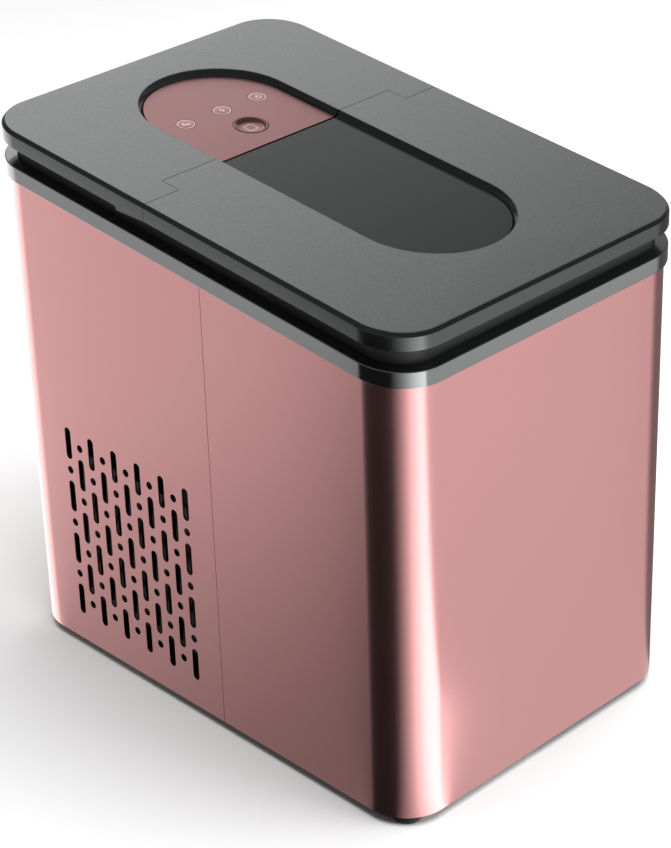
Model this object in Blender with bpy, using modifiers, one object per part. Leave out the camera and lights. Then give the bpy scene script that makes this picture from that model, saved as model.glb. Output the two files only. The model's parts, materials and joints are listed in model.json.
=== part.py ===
"""Countertop bullet ice maker: casing, hinged lid, ice basket, tipping water tray and cooling unit.

Metres, +Z up. The origin is the centre of the footprint at the bottom of the feet, and the front faces -Y.
The top slopes up towards the back. Parts of the top are modelled flat, as if it were level at its
front height, and roof() then leans them to the slope.
"""

import math

import bmesh
import bpy
from mathutils import Matrix, Vector

# Casing
WIDTH = 0.242
DEPTH = 0.353
CORNER = 0.030
FOOT_HEIGHT = 0.006
FOOT_RADIUS = 0.0098
FOOT_X = 0.104
FOOT_Y = 0.1595
SHEET = 0.0012
SEAM_Y = -0.0156
CLEAR = 0.0003
FAR = 0.2

# Heights at the front edge of the top, which rises by SLOPE towards the back
SLOPE = 0.0970
BAND_LOW = 0.2972
BAND_TOP = 0.3078
PLATE_LOW = 0.3197
PLATE_TOP = 0.3308
OVERHANG = 0.0022
NECK_INSET = 0.006
DECK_TOP = PLATE_LOW - 0.0008
DECK_THICK = 0.004

# Ventilation slots: a lattice where slots and dots take turns
VENT_COLUMNS = 11
VENT_ROWS = 7
VENT_REAR_Y = 0.1216
VENT_TOP_Z = 0.1558
VENT_PITCH_Y = 0.01123
VENT_PITCH_Z = 0.01956
SLOT_WIDTH = 0.0056
SLOT_LENGTH = 0.0228
DOT_WIDTH = 0.0052

# Top: the round-ended recess for window and panel, the split between lid and rear cover, the hinge
RECESS_HALF = 0.05125
RECESS_DEPTH = 0.0038
RECESS_DRAFT = 0.00275
RECESS_FRONT_Y = -0.1347
RECESS_REAR_Y = 0.1470
TONGUE_HALF = 0.0948
TONGUE_REAR_Y = 0.0428
LID_SIDE_Y = 0.0279
INNER_REAR_Y = 0.0192
HINGE_Y = 0.0350
HINGE_DEPTH = 0.0035
HINGE_Z = PLATE_TOP + SLOPE * (HINGE_Y + DEPTH / 2) - HINGE_DEPTH
TONGUE_SWEEP = 0.00925
EAR_SWEEP = 0.00775
PIN_RADIUS = 0.0015
BUTTON_Y = 0.0687
BUTTON_RADIUS = 0.0108
LENS_Y = 0.0949
LENS_RADIUS = 0.0059
LENS_PITCH = 0.030
BUTTON_FLANGE = 0.0121
PANEL_FRONT_Y = 0.0442
PIN_INNER_X = 0.0852
PIN_OUTER_X = 0.1037
BORE_X = 0.1040
BORE_RADIUS = 0.0018
WALL = 0.003

# Bin: the opening in the deck, the tank below it and the basket inside
MOUTH_LOW = Vector((-0.0895, -0.1555))
MOUTH_HIGH = Vector((0.0895, 0.0100))
TANK_LOW = Vector((-0.0945, -0.1605, 0.0595))
TANK_HIGH = Vector((0.0945, 0.0285, 0.345))
TANK_WALL = 0.0025
TANK_STEP_Y = -0.0035
TANK_STEP_Z = 0.1625
BASKET_LOW = Vector((-0.088, -0.1535, 0.115))
BASKET_HIGH = Vector((0.088, -0.0625, 0.200))

# Ice works: everything turns about, or hangs round, the tray's axis
TRAY_Y = -0.013
TRAY_Z = 0.262
TRAY_RADIUS = 0.0365
TRAY_HALF = 0.081
TUBE_RADIUS = 0.004
TUBE_Z = 0.276
LEG_X = 0.0865

# Water circuit: the pump, the hoses' height through the tank wall, and the drain at the back
PUMP_X = 0.060
PUMP_Y = 0.035
SUCTION_Z = 0.072
FILL_Z = 0.303
HOSE_RADIUS = 0.0037
HOSE_HOLE = 0.0042
DRAIN_X = -0.050
DRAIN_Z = 0.032
SUMP_X = -0.030
SUMP_Y = -0.030

# Cooling unit
FAN_X = -0.0888
FAN_Y = 0.066
FAN_Z = 0.097
PIPE_RADIUS = 0.003
COMPRESSOR_X = 0.046
COMPRESSOR_Y = 0.109
COMPRESSOR_RADIUS = 0.043

COLOURS = {
    "rose_gold_paint": ((0.58, 0.28, 0.28), 0.35, 0.6),
    "satin_gunmetal": ((0.13, 0.14, 0.14), 0.45, 0.7),
    "satin_steel": ((0.42, 0.43, 0.43), 0.3, 1.0),
    "black_plastic": ((0.015, 0.015, 0.016), 0.5, 0.0),
    "grey_plastic": ((0.45, 0.46, 0.47), 0.5, 0.0),
    "smoked_glass": ((0.03, 0.035, 0.035), 0.08, 0.0),
    "clear_plastic": ((0.65, 0.70, 0.72), 0.15, 0.0),
    "rubber": ((0.02, 0.02, 0.02), 0.8, 0.0),
    "foam": ((0.85, 0.85, 0.83), 0.9, 0.0),
    "copper": ((0.72, 0.36, 0.22), 0.3, 1.0),
    "nickel": ((0.62, 0.60, 0.56), 0.2, 1.0),
    "aluminium": ((0.75, 0.76, 0.77), 0.35, 1.0),
    "black_enamel": ((0.012, 0.012, 0.013), 0.25, 0.0),
    "circuit_board": ((0.02, 0.16, 0.06), 0.45, 0.0),
    "silicone": ((0.75, 0.74, 0.70), 0.6, 0.0),
}


# ---------------------------------------------------------------- scene, collections and materials


def start_scene():
    for obj in list(bpy.data.objects):
        bpy.data.objects.remove(obj)
    for name in ("ice_maker", "cutters"):
        bpy.context.scene.collection.children.link(bpy.data.collections.new(name))


def material(name):
    found = bpy.data.materials.get(name)
    if found:
        return found
    colour, roughness, metallic = COLOURS[name]
    made = bpy.data.materials.new(name)
    made.use_nodes = True
    shader = made.node_tree.nodes["Principled BSDF"]
    shader.inputs["Base Color"].default_value = (*colour, 1.0)
    shader.inputs["Roughness"].default_value = roughness
    shader.inputs["Metallic"].default_value = metallic
    return made


def place(name, mesh, finish):
    """Put a mesh in the scene: a part when it has a finish, or else a cutter."""
    obj = bpy.data.objects.new(name, mesh)
    if finish:
        mesh.materials.append(material(finish))
        bpy.data.collections["ice_maker"].objects.link(obj)
        return obj
    bpy.data.collections["cutters"].objects.link(obj)
    obj.hide_render = True
    obj.display_type = "WIRE"
    return obj


def from_bmesh(name, bm, finish):
    mesh = bpy.data.meshes.new(name)
    bm.to_mesh(mesh)
    bm.free()
    return place(name, mesh, finish)


# ---------------------------------------------------------------- basic shapes


def block(name, low, high, finish=None, corner=0.0, segments=4):
    """A box between two corners, its upright edges rounded to a radius."""
    low, high = Vector(low), Vector(high)
    bm = bmesh.new()
    bmesh.ops.create_cube(bm, size=1.0)
    bmesh.ops.scale(bm, vec=high - low, verts=bm.verts)
    bmesh.ops.translate(bm, vec=(low + high) / 2, verts=bm.verts)
    if corner:
        upright = [e for e in bm.edges if abs(e.verts[0].co.z - e.verts[1].co.z) > 1e-6]
        bmesh.ops.bevel(bm, geom=upright, offset=corner, segments=segments, profile=0.5, affect="EDGES")
    return from_bmesh(name, bm, finish)


def ahead_of(name, y, z_low=0.2):
    """Everything in front of y, for cutting."""
    return block(name, (-FAR, -FAR, z_low), (FAR, y, 0.5))


def behind(name, y, z_low=0.2, z_high=0.5):
    """Everything behind y, for cutting."""
    return block(name, (-FAR, y, z_low), (FAR, 2 * FAR, z_high))


def outline_block(name, inset, z_low, z_high, finish=None, segments=6):
    """A block with the casing's plan outline, moved in by an inset."""
    x, y = WIDTH / 2 - inset, DEPTH / 2 - inset
    return block(name, (-x, -y, z_low), (x, y, z_high), finish, CORNER - inset, segments)


def rod(name, start, end, radius, finish=None, segments=16, end_radius=None):
    """A round bar, or a cone, from one point to another."""
    start, end = Vector(start), Vector(end)
    along = end - start
    turn = Vector((0, 0, 1)).rotation_difference(along).to_matrix().to_4x4()
    bm = bmesh.new()
    bmesh.ops.create_cone(
        bm,
        cap_ends=True,
        segments=segments,
        radius1=radius,
        radius2=radius if end_radius is None else end_radius,
        depth=along.length,
        matrix=Matrix.Translation((start + end) / 2) @ turn,
    )
    return from_bmesh(name, bm, finish)


def upright(name, x, y, z_low, z_high, radius, finish=None, segments=16):
    """A round bar that stands upright."""
    return rod(name, (x, y, z_low), (x, y, z_high), radius, finish, segments)


def turned(name, centre, profile, finish=None, steps=24):
    """A turned solid about an upright axis. The profile runs from top to bottom as (radius, height)."""
    mesh = bpy.data.meshes.new(name)
    points = [(radius, 0.0, height) for radius, height in profile]
    mesh.from_pydata(points, [(i, i + 1) for i in range(len(points) - 1)], [])
    obj = place(name, mesh, finish)
    obj.location = centre
    screw = obj.modifiers.new("turn", "SCREW")
    screw.steps = steps
    screw.render_steps = steps
    screw.use_merge_vertices = True
    screw.merge_threshold = 0.00001
    return obj


def round_ended(name, half, z_low, z_high, front_y, rear_y, draft=0.0, finish=None, segments=24):
    """A block with half-round ends at the front and the back, wider at the top by the draft."""
    bm = bmesh.new()
    bmesh.ops.create_cone(
        bm, cap_ends=True, segments=segments, radius1=half - draft, radius2=half, depth=z_high - z_low
    )
    front, rear = front_y + half, rear_y - half
    for vertex in bm.verts:
        vertex.co.y += rear if vertex.co.y > 1e-6 else front
        vertex.co.z += (z_low + z_high) / 2
    return from_bmesh(name, bm, finish)


def rounded_path(points, bend):
    """The points of a path whose corners are arcs of the bend radius."""
    points = [Vector(p) for p in points]
    path = [points[0]]
    for before, corner, after in zip(points, points[1:], points[2:]):
        into = (corner - before).normalized()
        out = (after - corner).normalized()
        angle = into.angle(out)
        room = min((corner - before).length, (after - corner).length) / 2.05
        back = min(bend * math.tan(angle / 2), room)
        first, last = corner - into * back, corner + out * back
        steps = 4
        for i in range(steps + 1):
            t = i / steps
            path.append(first * (1 - t) ** 2 + corner * 2 * t * (1 - t) + last * t**2)
    path.append(points[-1])
    return path


def pipe(name, points, radius, finish, bend=0.012, resolution=2):
    """A tube along a path with rounded corners."""
    curve = bpy.data.curves.new(name, "CURVE")
    curve.dimensions = "3D"
    curve.bevel_depth = radius
    curve.bevel_resolution = resolution
    curve.use_fill_caps = True
    path = rounded_path(points, bend)
    spline = curve.splines.new("POLY")
    spline.points.add(len(path) - 1)
    for point, place_at in zip(spline.points, path):
        point.co = (*place_at, 1.0)
    curve.materials.append(material(finish))
    obj = bpy.data.objects.new(name, curve)
    bpy.data.collections["ice_maker"].objects.link(obj)
    return obj


# ---------------------------------------------------------------- cutting, joining and leaning


def combine(obj, other, operation):
    modifier = obj.modifiers.new(other.name, "BOOLEAN")
    modifier.operation = operation
    modifier.object = other
    modifier.solver = "EXACT"
    return obj


def cut(obj, *cutters):
    for cutter in cutters:
        combine(obj, cutter, "DIFFERENCE")
    return obj


def join(obj, *others):
    for other in others:
        combine(obj, other, "UNION")
    return obj


def chamfer(obj, width, segments=1):
    """Break the sharp edges."""
    bevel = obj.modifiers.new("chamfer", "BEVEL")
    bevel.width = width
    bevel.segments = segments
    bevel.limit_method = "ANGLE"
    bevel.angle_limit = math.radians(50)
    return obj


def settle(obj):
    """Replace an object's mesh by what its modifiers make of it."""
    bpy.context.view_layer.update()
    graph = bpy.context.evaluated_depsgraph_get()
    mesh = bpy.data.meshes.new_from_object(obj.evaluated_get(graph))
    obj.modifiers.clear()
    obj.data = mesh
    return obj


def roof(obj):
    """Lean a part that was modelled level to the slope of the top."""
    settle(obj)
    for vertex in obj.data.vertices:
        vertex.co.z += SLOPE * (vertex.co.y + DEPTH / 2)
    return obj


def round_shading():
    for obj in bpy.data.collections["ice_maker"].objects:
        if obj.type == "MESH":
            obj.data.shade_smooth()
            obj.data.set_sharp_from_angle(angle=math.radians(35))


# ---------------------------------------------------------------- casing


def casing_sheet(name, rear):
    """Half of the wrap: an upright sheet open at the seam, its top edge on the slope."""
    bm = bmesh.new()
    bmesh.ops.create_cube(bm, size=1.0)
    bmesh.ops.scale(bm, vec=(WIDTH, DEPTH, BAND_LOW - CLEAR - FOOT_HEIGHT), verts=bm.verts)
    bmesh.ops.translate(bm, vec=(0, 0, (BAND_LOW - CLEAR + FOOT_HEIGHT) / 2), verts=bm.verts)
    upright = [e for e in bm.edges if abs(e.verts[0].co.z - e.verts[1].co.z) > 1e-6]
    bmesh.ops.bevel(bm, geom=upright, offset=CORNER, segments=6, profile=0.5, affect="EDGES")
    caps = [f for f in bm.faces if abs(f.normal.z) > 0.5]
    bmesh.ops.delete(bm, geom=caps, context="FACES")
    side = 1 if rear else -1
    bmesh.ops.bisect_plane(
        bm,
        geom=bm.verts[:] + bm.edges[:] + bm.faces[:],
        plane_co=(0, SEAM_Y + side * CLEAR / 2, 0),
        plane_no=(0, -side, 0),
        clear_outer=True,
    )
    for vertex in bm.verts:
        if vertex.co.z > FOOT_HEIGHT + 0.1:
            vertex.co.z += SLOPE * (vertex.co.y + DEPTH / 2)
    sheet = from_bmesh(name, bm, "rose_gold_paint")
    wall = sheet.modifiers.new("sheet", "SOLIDIFY")
    wall.thickness = SHEET
    wall.offset = -1
    wall.use_even_offset = True
    return sheet


def vent_cutter(name, width, length, wanted, segments):
    """Round-ended prisms through both sides of the casing, at every other place of the lattice."""
    bm = bmesh.new()
    stretch = (length - width) / 2
    for column in range(VENT_COLUMNS):
        for row in range(VENT_ROWS):
            if (column + row) % 2 != wanted:
                continue
            centre = Vector((0, VENT_REAR_Y - column * VENT_PITCH_Y, VENT_TOP_Z - row * VENT_PITCH_Z))
            turn = Matrix.Rotation(math.pi / 2, 4, "Y") @ Matrix.Rotation(math.pi / segments, 4, "Z")
            made = bmesh.ops.create_cone(
                bm,
                cap_ends=True,
                segments=segments,
                radius1=width / 2,
                radius2=width / 2,
                depth=WIDTH + 0.02,
                matrix=Matrix.Translation(centre) @ turn,
            )
            for vertex in made["verts"]:
                vertex.co.z += math.copysign(stretch, vertex.co.z - centre.z)
    return from_bmesh(name, bm, None)


def make_casing():
    casing_sheet("front_casing", rear=False)
    rear = casing_sheet("rear_casing", rear=True)
    cut(
        rear,
        vent_cutter("slot_cutter", SLOT_WIDTH, SLOT_LENGTH, 0, 8),
        vent_cutter("dot_cutter", DOT_WIDTH, DOT_WIDTH, 1, 6),
        block("inlet_opening", (0.0565, 0.165, 0.0345), (0.0835, 0.185, 0.0555)),
        rod("drain_opening", (DRAIN_X, 0.165, DRAIN_Z), (DRAIN_X, 0.185, DRAIN_Z), 0.0108, segments=20),
    )


def make_base():
    """A shallow pan that closes the casing from below, on four rubber feet."""
    rim, floor, low = 0.002, 0.003, FOOT_HEIGHT + CLEAR
    pan = outline_block("base_plate", SHEET + CLEAR, low, 0.0180, "black_plastic")
    cut(pan, outline_block("base_hollow", SHEET + CLEAR + rim, low + floor, 0.030))
    r, edge = FOOT_RADIUS, 0.0012
    profile = [(0, FOOT_HEIGHT), (r, FOOT_HEIGHT), (r, edge), (r - edge, 0), (0, 0)]
    for x_name, x in (("left", -FOOT_X), ("right", FOOT_X)):
        for y_name, y in (("front", -FOOT_Y), ("rear", FOOT_Y)):
            turned(f"foot_{y_name}_{x_name}", (x, y, 0), profile, "rubber", steps=20)


def make_band():
    band = outline_block("trim_band", -OVERHANG, BAND_LOW, BAND_TOP, "satin_steel")
    chamfer(band, 0.0008)
    cut(band, outline_block("band_hole", NECK_INSET - CLEAR, BAND_LOW - 0.01, BAND_TOP + 0.01))
    roof(band)


def make_top_frame():
    """Neck wall, deck and the lip round the mouth of the bin, with a groove under the hinge."""
    frame = outline_block("top_frame", NECK_INSET, BAND_LOW + 0.0005, DECK_TOP, "black_plastic")
    deck_low = DECK_TOP - DECK_THICK
    lip = 0.002
    hollow = outline_block("frame_hollow", NECK_INSET + WALL, BAND_LOW - 0.01, deck_low)
    around = block(
        "lip_block",
        (MOUTH_LOW.x - lip, MOUTH_LOW.y - lip, deck_low - 0.006),
        (MOUTH_HIGH.x + lip, MOUTH_HIGH.y + lip, deck_low + 0.01),
        corner=0.013,
    )
    cut(hollow, around)
    mouth = block("mouth", (*MOUTH_LOW, BAND_LOW - 0.02), (*MOUTH_HIGH, DECK_TOP + 0.01), corner=0.011)
    cut(frame, hollow, mouth)
    roof(frame)
    cut(frame, hinge_bar("hinge_groove", TONGUE_HALF + 0.0007, TONGUE_SWEEP))


# ---------------------------------------------------------------- rear cover and its panel


def plate_blank(name):
    """The whole top plate with its broken edge and the drafted recess for window and panel."""
    plate = outline_block(name, -OVERHANG, PLATE_LOW, PLATE_TOP, "satin_gunmetal", segments=8)
    chamfer(plate, 0.0020, segments=2)
    recess = round_ended(
        name + "_recess",
        RECESS_HALF + RECESS_DRAFT,
        PLATE_TOP - RECESS_DEPTH,
        PLATE_TOP + RECESS_DEPTH,
        RECESS_FRONT_Y - RECESS_DRAFT,
        RECESS_REAR_Y + RECESS_DRAFT,
        draft=2 * RECESS_DRAFT,
    )
    return cut(plate, recess)


def seat(name, inset, depth_low, depth_high, finish=None):
    """A round-ended block inside the recess, between two depths under the plate's top."""
    return round_ended(
        name,
        RECESS_HALF - inset,
        PLATE_TOP - depth_low,
        PLATE_TOP - depth_high,
        RECESS_FRONT_Y + inset,
        RECESS_REAR_Y - inset,
        finish=finish,
    )


def hinge_bar(name, half, radius, segments=48):
    """A bar on the hinge's axis, from one side to the other, for cutting."""
    return rod(name, (-half, HINGE_Y, HINGE_Z), (half, HINGE_Y, HINGE_Z), radius, segments=segments)


def make_rear_cover():
    cover = plate_blank("rear_cover")
    hollow = outline_block("cover_hollow", WALL - OVERHANG, PLATE_LOW - 0.01, PLATE_TOP - WALL)
    cut(
        hollow,
        ahead_of("cover_hollow_front", 0.056),
        seat("cover_collar", -0.002, 0.05, 0.0),
    )
    well = seat("panel_well", 0.007, 0.03, 0.002)
    cut(well, ahead_of("panel_well_front", 0.0562))
    cut(
        cover,
        hollow,
        seat("panel_seat", RECESS_DRAFT, 0.0061, 0.002),
        well,
        ahead_of("cover_front", LID_SIDE_Y + CLEAR),
    )
    roof(cover)
    cut(
        cover,
        block("cover_centre", (-TONGUE_HALF, -0.1, 0.2), (TONGUE_HALF, HINGE_Y, 0.4)),
        hinge_bar("tongue_space", TONGUE_HALF, TONGUE_SWEEP),
        hinge_bar("ear_bore", BORE_X, BORE_RADIUS, 12),
    )


def make_panel():
    """The panel lies on the floor of the recess, with a round button and three lenses let into it."""
    level = PLATE_TOP - RECESS_DEPTH
    thick = 0.002
    panel = seat("control_panel", RECESS_DRAFT + CLEAR, RECESS_DEPTH + thick, RECESS_DEPTH, "rose_gold_paint")
    cut(
        panel,
        ahead_of("panel_front", PANEL_FRONT_Y),
        upright("button_hole", 0, BUTTON_Y, level - 0.01, level + 0.01, BUTTON_RADIUS + CLEAR, segments=24),
    )
    for number, name in ((-1, "left"), (0, "centre"), (1, "right")):
        x = number * LENS_PITCH
        cut(panel, upright(f"lens_hole_{name}", x, LENS_Y, level - 0.01, level + 0.01, LENS_RADIUS + CLEAR))
        lens_name = f"indicator_lens_{name}"
        roof(upright(lens_name, x, LENS_Y, level - thick, level, LENS_RADIUS, "clear_plastic"))
    roof(panel)
    make_button(level)


def make_button(level):
    """A dished cap whose flange, under the panel, keeps it from coming out."""
    button = turned(
        "power_button",
        (0, BUTTON_Y, level),
        [
            (0, -0.0010),
            (0.006, -0.0008),
            (BUTTON_RADIUS - 0.0012, 0.0002),
            (BUTTON_RADIUS, -0.0004),
            (BUTTON_RADIUS, -0.0024),
            (BUTTON_FLANGE, -0.0024),
            (BUTTON_FLANGE, -0.0032),
            (0.003, -0.0032),
            (0.003, -0.0036),
            (0, -0.0036),
        ],
        "rose_gold_paint",
    )
    settle_at_origin(button)
    roof(button)


def settle_at_origin(obj):
    """Put an object's place into its mesh."""
    settle(obj)
    obj.data.transform(Matrix.Translation(obj.location))
    obj.location = (0, 0, 0)
    return obj


def make_control_board():
    """The board under the panel: a lamp under each lens, a chip, and a hole for the switch."""
    top, low, face = PLATE_TOP, PLATE_TOP - 0.0113, PLATE_TOP - 0.0101
    board = block("control_board", (-0.037, 0.059, low), (0.037, 0.1125, face), "circuit_board")
    join(board, block("board_chip", (-0.007, 0.1000, face - 0.0004), (0.007, 0.1115, top - 0.0088)))
    for number, x in enumerate((-LENS_PITCH, 0, LENS_PITCH)):
        join(board, upright(f"lamp_{number}", x, LENS_Y, face - 0.0004, top - 0.0066, 0.0022, segments=10))
    cut(board, upright("board_hole", 0, BUTTON_Y, low - 0.01, top, 0.0035, segments=12))
    roof(board)
    roof(upright("button_switch", 0, BUTTON_Y, low, top - 0.0086, 0.0030, "black_plastic", 12))


# ---------------------------------------------------------------- lid


def make_lid():
    cover = plate_blank("lid_cover")
    hollow = outline_block("lid_hollow", WALL - OVERHANG, PLATE_LOW - 0.01, PLATE_TOP - WALL)
    cut(
        hollow,
        behind("lid_hollow_rear", INNER_REAR_Y + CLEAR),
        seat("window_collar", -0.002, 0.0082, 0.0),
    )
    cut(
        cover,
        hollow,
        seat("window_seat", RECESS_DRAFT, 0.03, 0.002),
        behind("lid_rear", TONGUE_REAR_Y),
    )
    roof(cover)
    half = TONGUE_HALF - CLEAR
    for name, x in (("left", -half - 0.1), ("right", half)):
        ear_from, ear_to = (x, HINGE_Y, HINGE_Z), (x + 0.1, HINGE_Y, HINGE_Z)
        cut(
            cover,
            block(f"lid_side_{name}", (x, LID_SIDE_Y, 0.2), (x + 0.1, 0.2, 0.5)),
            rod(f"ear_space_{name}", ear_from, ear_to, EAR_SWEEP, segments=32),
        )
    cut(
        cover,
        behind("tongue_under", 0.0225, z_high=HINGE_Z - HINGE_DEPTH),
        hinge_bar("tongue_bore", BORE_X, BORE_RADIUS, 12),
    )

    thick = 0.003
    window = seat("lid_window", RECESS_DRAFT + CLEAR, RECESS_DEPTH + thick, RECESS_DEPTH, "smoked_glass")
    cut(window, behind("window_rear", TONGUE_REAR_Y))
    roof(window)
    make_lid_inner()


def make_lid_inner():
    """The inner frame closes the lid from below, carries the window on its rim and holds the seal."""
    inset, top = WALL - OVERHANG + CLEAR, PLATE_TOP - 0.0085
    frame = outline_block("lid_inner_frame", inset, PLATE_LOW, top, "black_plastic")
    rim = seat("window_rim", RECESS_DRAFT + 0.0006, 0.0095, 0.0071)
    hole = seat("window_view", 0.0065, 0.05, -0.01)
    groove = seal_ring("seal_groove", PLATE_LOW - 0.01, PLATE_LOW + 0.0016, CLEAR)
    cut(rim, behind("rim_rear", 0.0170))
    cut(hole, behind("view_rear", 0.0090))
    join(frame, rim)
    cut(frame, behind("inner_rear", INNER_REAR_Y), hole, groove)
    roof(frame)
    roof(seal_ring("lid_seal", PLATE_LOW - 0.0005, PLATE_LOW + 0.0013, 0.0, "rubber"))


def seal_ring(name, z_low, z_high, grow, finish=None):
    """A rounded rectangular ring round the mouth of the bin."""
    inner, width = 0.0035, 0.003
    low_x, high_x = MOUTH_LOW.x - inner, MOUTH_HIGH.x + inner
    low_y, high_y = MOUTH_LOW.y - inner, MOUTH_HIGH.y + 0.001
    out = width + grow
    ring = block(name, (low_x - out, low_y - out, z_low), (high_x + out, high_y + out, z_high), finish, 0.014)
    hole = block(
        name + "_inside",
        (low_x + grow, low_y + grow, z_low - 0.01),
        (high_x - grow, high_y - grow, z_high + 0.01),
        corner=0.011,
    )
    return cut(ring, hole)


def make_hinge_pins():
    """Each pin runs from an ear of the rear cover into the lid's tongue."""
    for name, side in (("left", -1), ("right", 1)):
        inner = (side * PIN_INNER_X, HINGE_Y, HINGE_Z)
        outer = (side * PIN_OUTER_X, HINGE_Y, HINGE_Z)
        rod(f"hinge_pin_{name}", inner, outer, PIN_RADIUS, "satin_steel", 12)


# ---------------------------------------------------------------- tank, insulation and basket


def roof_cutter(name, level):
    """A big block above a sloping plane."""
    return roof(block(name, (-FAR, -FAR, level), (FAR, FAR, level + 0.1)))


def make_tank():
    low, high = TANK_LOW, TANK_HIGH
    tank = block("inner_tank", low, high, "grey_plastic", corner=0.016)
    wide = Vector((TANK_WALL, TANK_WALL, 0))
    upper_low = Vector((low.x, low.y, TANK_STEP_Z + TANK_WALL)) + wide
    upper_high = Vector((high.x, high.y, high.z + 0.01)) - wide
    ledge, ledge_z, corner = 0.008, 0.1147, 0.0135
    middle_low = (upper_low.x, upper_low.y, ledge_z)
    middle_high = (upper_high.x, TANK_STEP_Y - TANK_WALL, TANK_STEP_Z + TANK_WALL + 0.005)
    sump_top, sump_low = (SUMP_X, SUMP_Y, 0.07), (SUMP_X, SUMP_Y, 0.05)
    shaft_low, shaft_high = (0.0915, TRAY_Y - 0.004, TRAY_Z - 0.004), (0.1, TRAY_Y + 0.004, TRAY_Z + 0.004)
    cut(
        tank,
        behind("tank_notch", TANK_STEP_Y, 0.0, TANK_STEP_Z),
        block("tank_upper", upper_low, upper_high, corner=corner),
        block("tank_middle", middle_low, middle_high, corner=corner),
        block(
            "tank_reservoir",
            (upper_low.x + ledge, upper_low.y + ledge, low.z + TANK_WALL),
            (upper_high.x - ledge, TANK_STEP_Y - 2 * TANK_WALL, ledge_z + 0.005),
            corner=0.010,
        ),
        roof_cutter("tank_top", DECK_TOP - DECK_THICK - CLEAR),
        block("tank_shaft_hole", shaft_low, shaft_high),
        rod("tank_suction_hole", (PUMP_X, -0.02, SUCTION_Z), (PUMP_X, 0.01, SUCTION_Z), HOSE_HOLE),
        rod("tank_fill_hole", (PUMP_X, 0.02, FILL_Z), (PUMP_X, 0.05, FILL_Z), HOSE_HOLE),
        rod("tank_drain_hole", sump_low, sump_top, HOSE_HOLE),
    )
    for name, x in (("left", -LEG_X), ("right", LEG_X)):
        hole = rod(f"tank_tube_{name}", (x, 0.010, TUBE_Z), (x, 0.05, TUBE_Z), TUBE_RADIUS + 0.0005)
        cut(tank, hole)


def make_foam():
    foam = block("foam_insulation", (-0.1165, -0.1725, 0.050), (0.1165, 0.0425, 0.2960), "foam", 0.025, 5)
    gap = Vector((CLEAR, CLEAR, CLEAR))
    inside = block("foam_inside", TANK_LOW - gap, TANK_HIGH + gap, corner=0.016)
    cut(inside, behind("foam_step", TANK_STEP_Y + CLEAR, 0.0, TANK_STEP_Z - CLEAR))
    cut(
        foam,
        inside,
        behind("foam_notch", 0.008, 0.0, 0.152),
        block("foam_motor", (0.09, -0.036, 0.236), (FAR, 0.010, 0.3)),
        rod("foam_suction_hole", (PUMP_X, -0.01, SUCTION_Z), (PUMP_X, 0.02, SUCTION_Z), HOSE_HOLE),
        rod("foam_drain_hole", (SUMP_X, SUMP_Y, 0.04), (SUMP_X, SUMP_Y, 0.062), HOSE_HOLE + 0.001),
    )
    for name, x in (("left", -LEG_X), ("right", LEG_X)):
        cut(foam, rod(f"foam_tube_{name}", (x, 0.02, TUBE_Z), (x, 0.05, TUBE_Z), TUBE_RADIUS + 0.0005))


def make_basket():
    """A plain open box with round corners."""
    low, high = BASKET_LOW, BASKET_HIGH
    wall = 0.002
    basket = block("ice_basket", low, high, "clear_plastic", corner=0.012)
    inside = block(
        "basket_inside",
        (low.x + wall, low.y + wall, low.z + wall),
        (high.x - wall, high.y - wall, high.z + 0.01),
        corner=0.010,
    )
    cut(basket, inside)


# ---------------------------------------------------------------- ice works


def make_evaporator():
    """A plated block with a tube across its top and nine fingers that hang into the tray."""
    low, high = (-0.072, TRAY_Y - 0.019, 0.2660), (0.072, TRAY_Y + 0.019, 0.2717)
    plate = block("evaporator_block", low, high, "nickel")
    for number in range(9):
        row = number % 2
        x = (number - 4) * 0.0155
        y = TRAY_Y + (0.009 if row else -0.009)
        finger = turned(
            f"finger_{number}",
            (x, y, 0),
            [(0, 0.268), (0.0045, 0.268), (0.0045, 0.239), (0.0030, 0.2362), (0, 0.2355)],
            None,
            steps=12,
        )
        join(plate, finger)
    front, rear = TRAY_Y - 0.010, 0.0600
    points = [(-LEG_X, rear, TUBE_Z), (-LEG_X, front, TUBE_Z), (LEG_X, front, TUBE_Z), (LEG_X, rear, TUBE_Z)]
    pipe("evaporator_tube", points, TUBE_RADIUS, "copper", bend=0.010)


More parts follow.
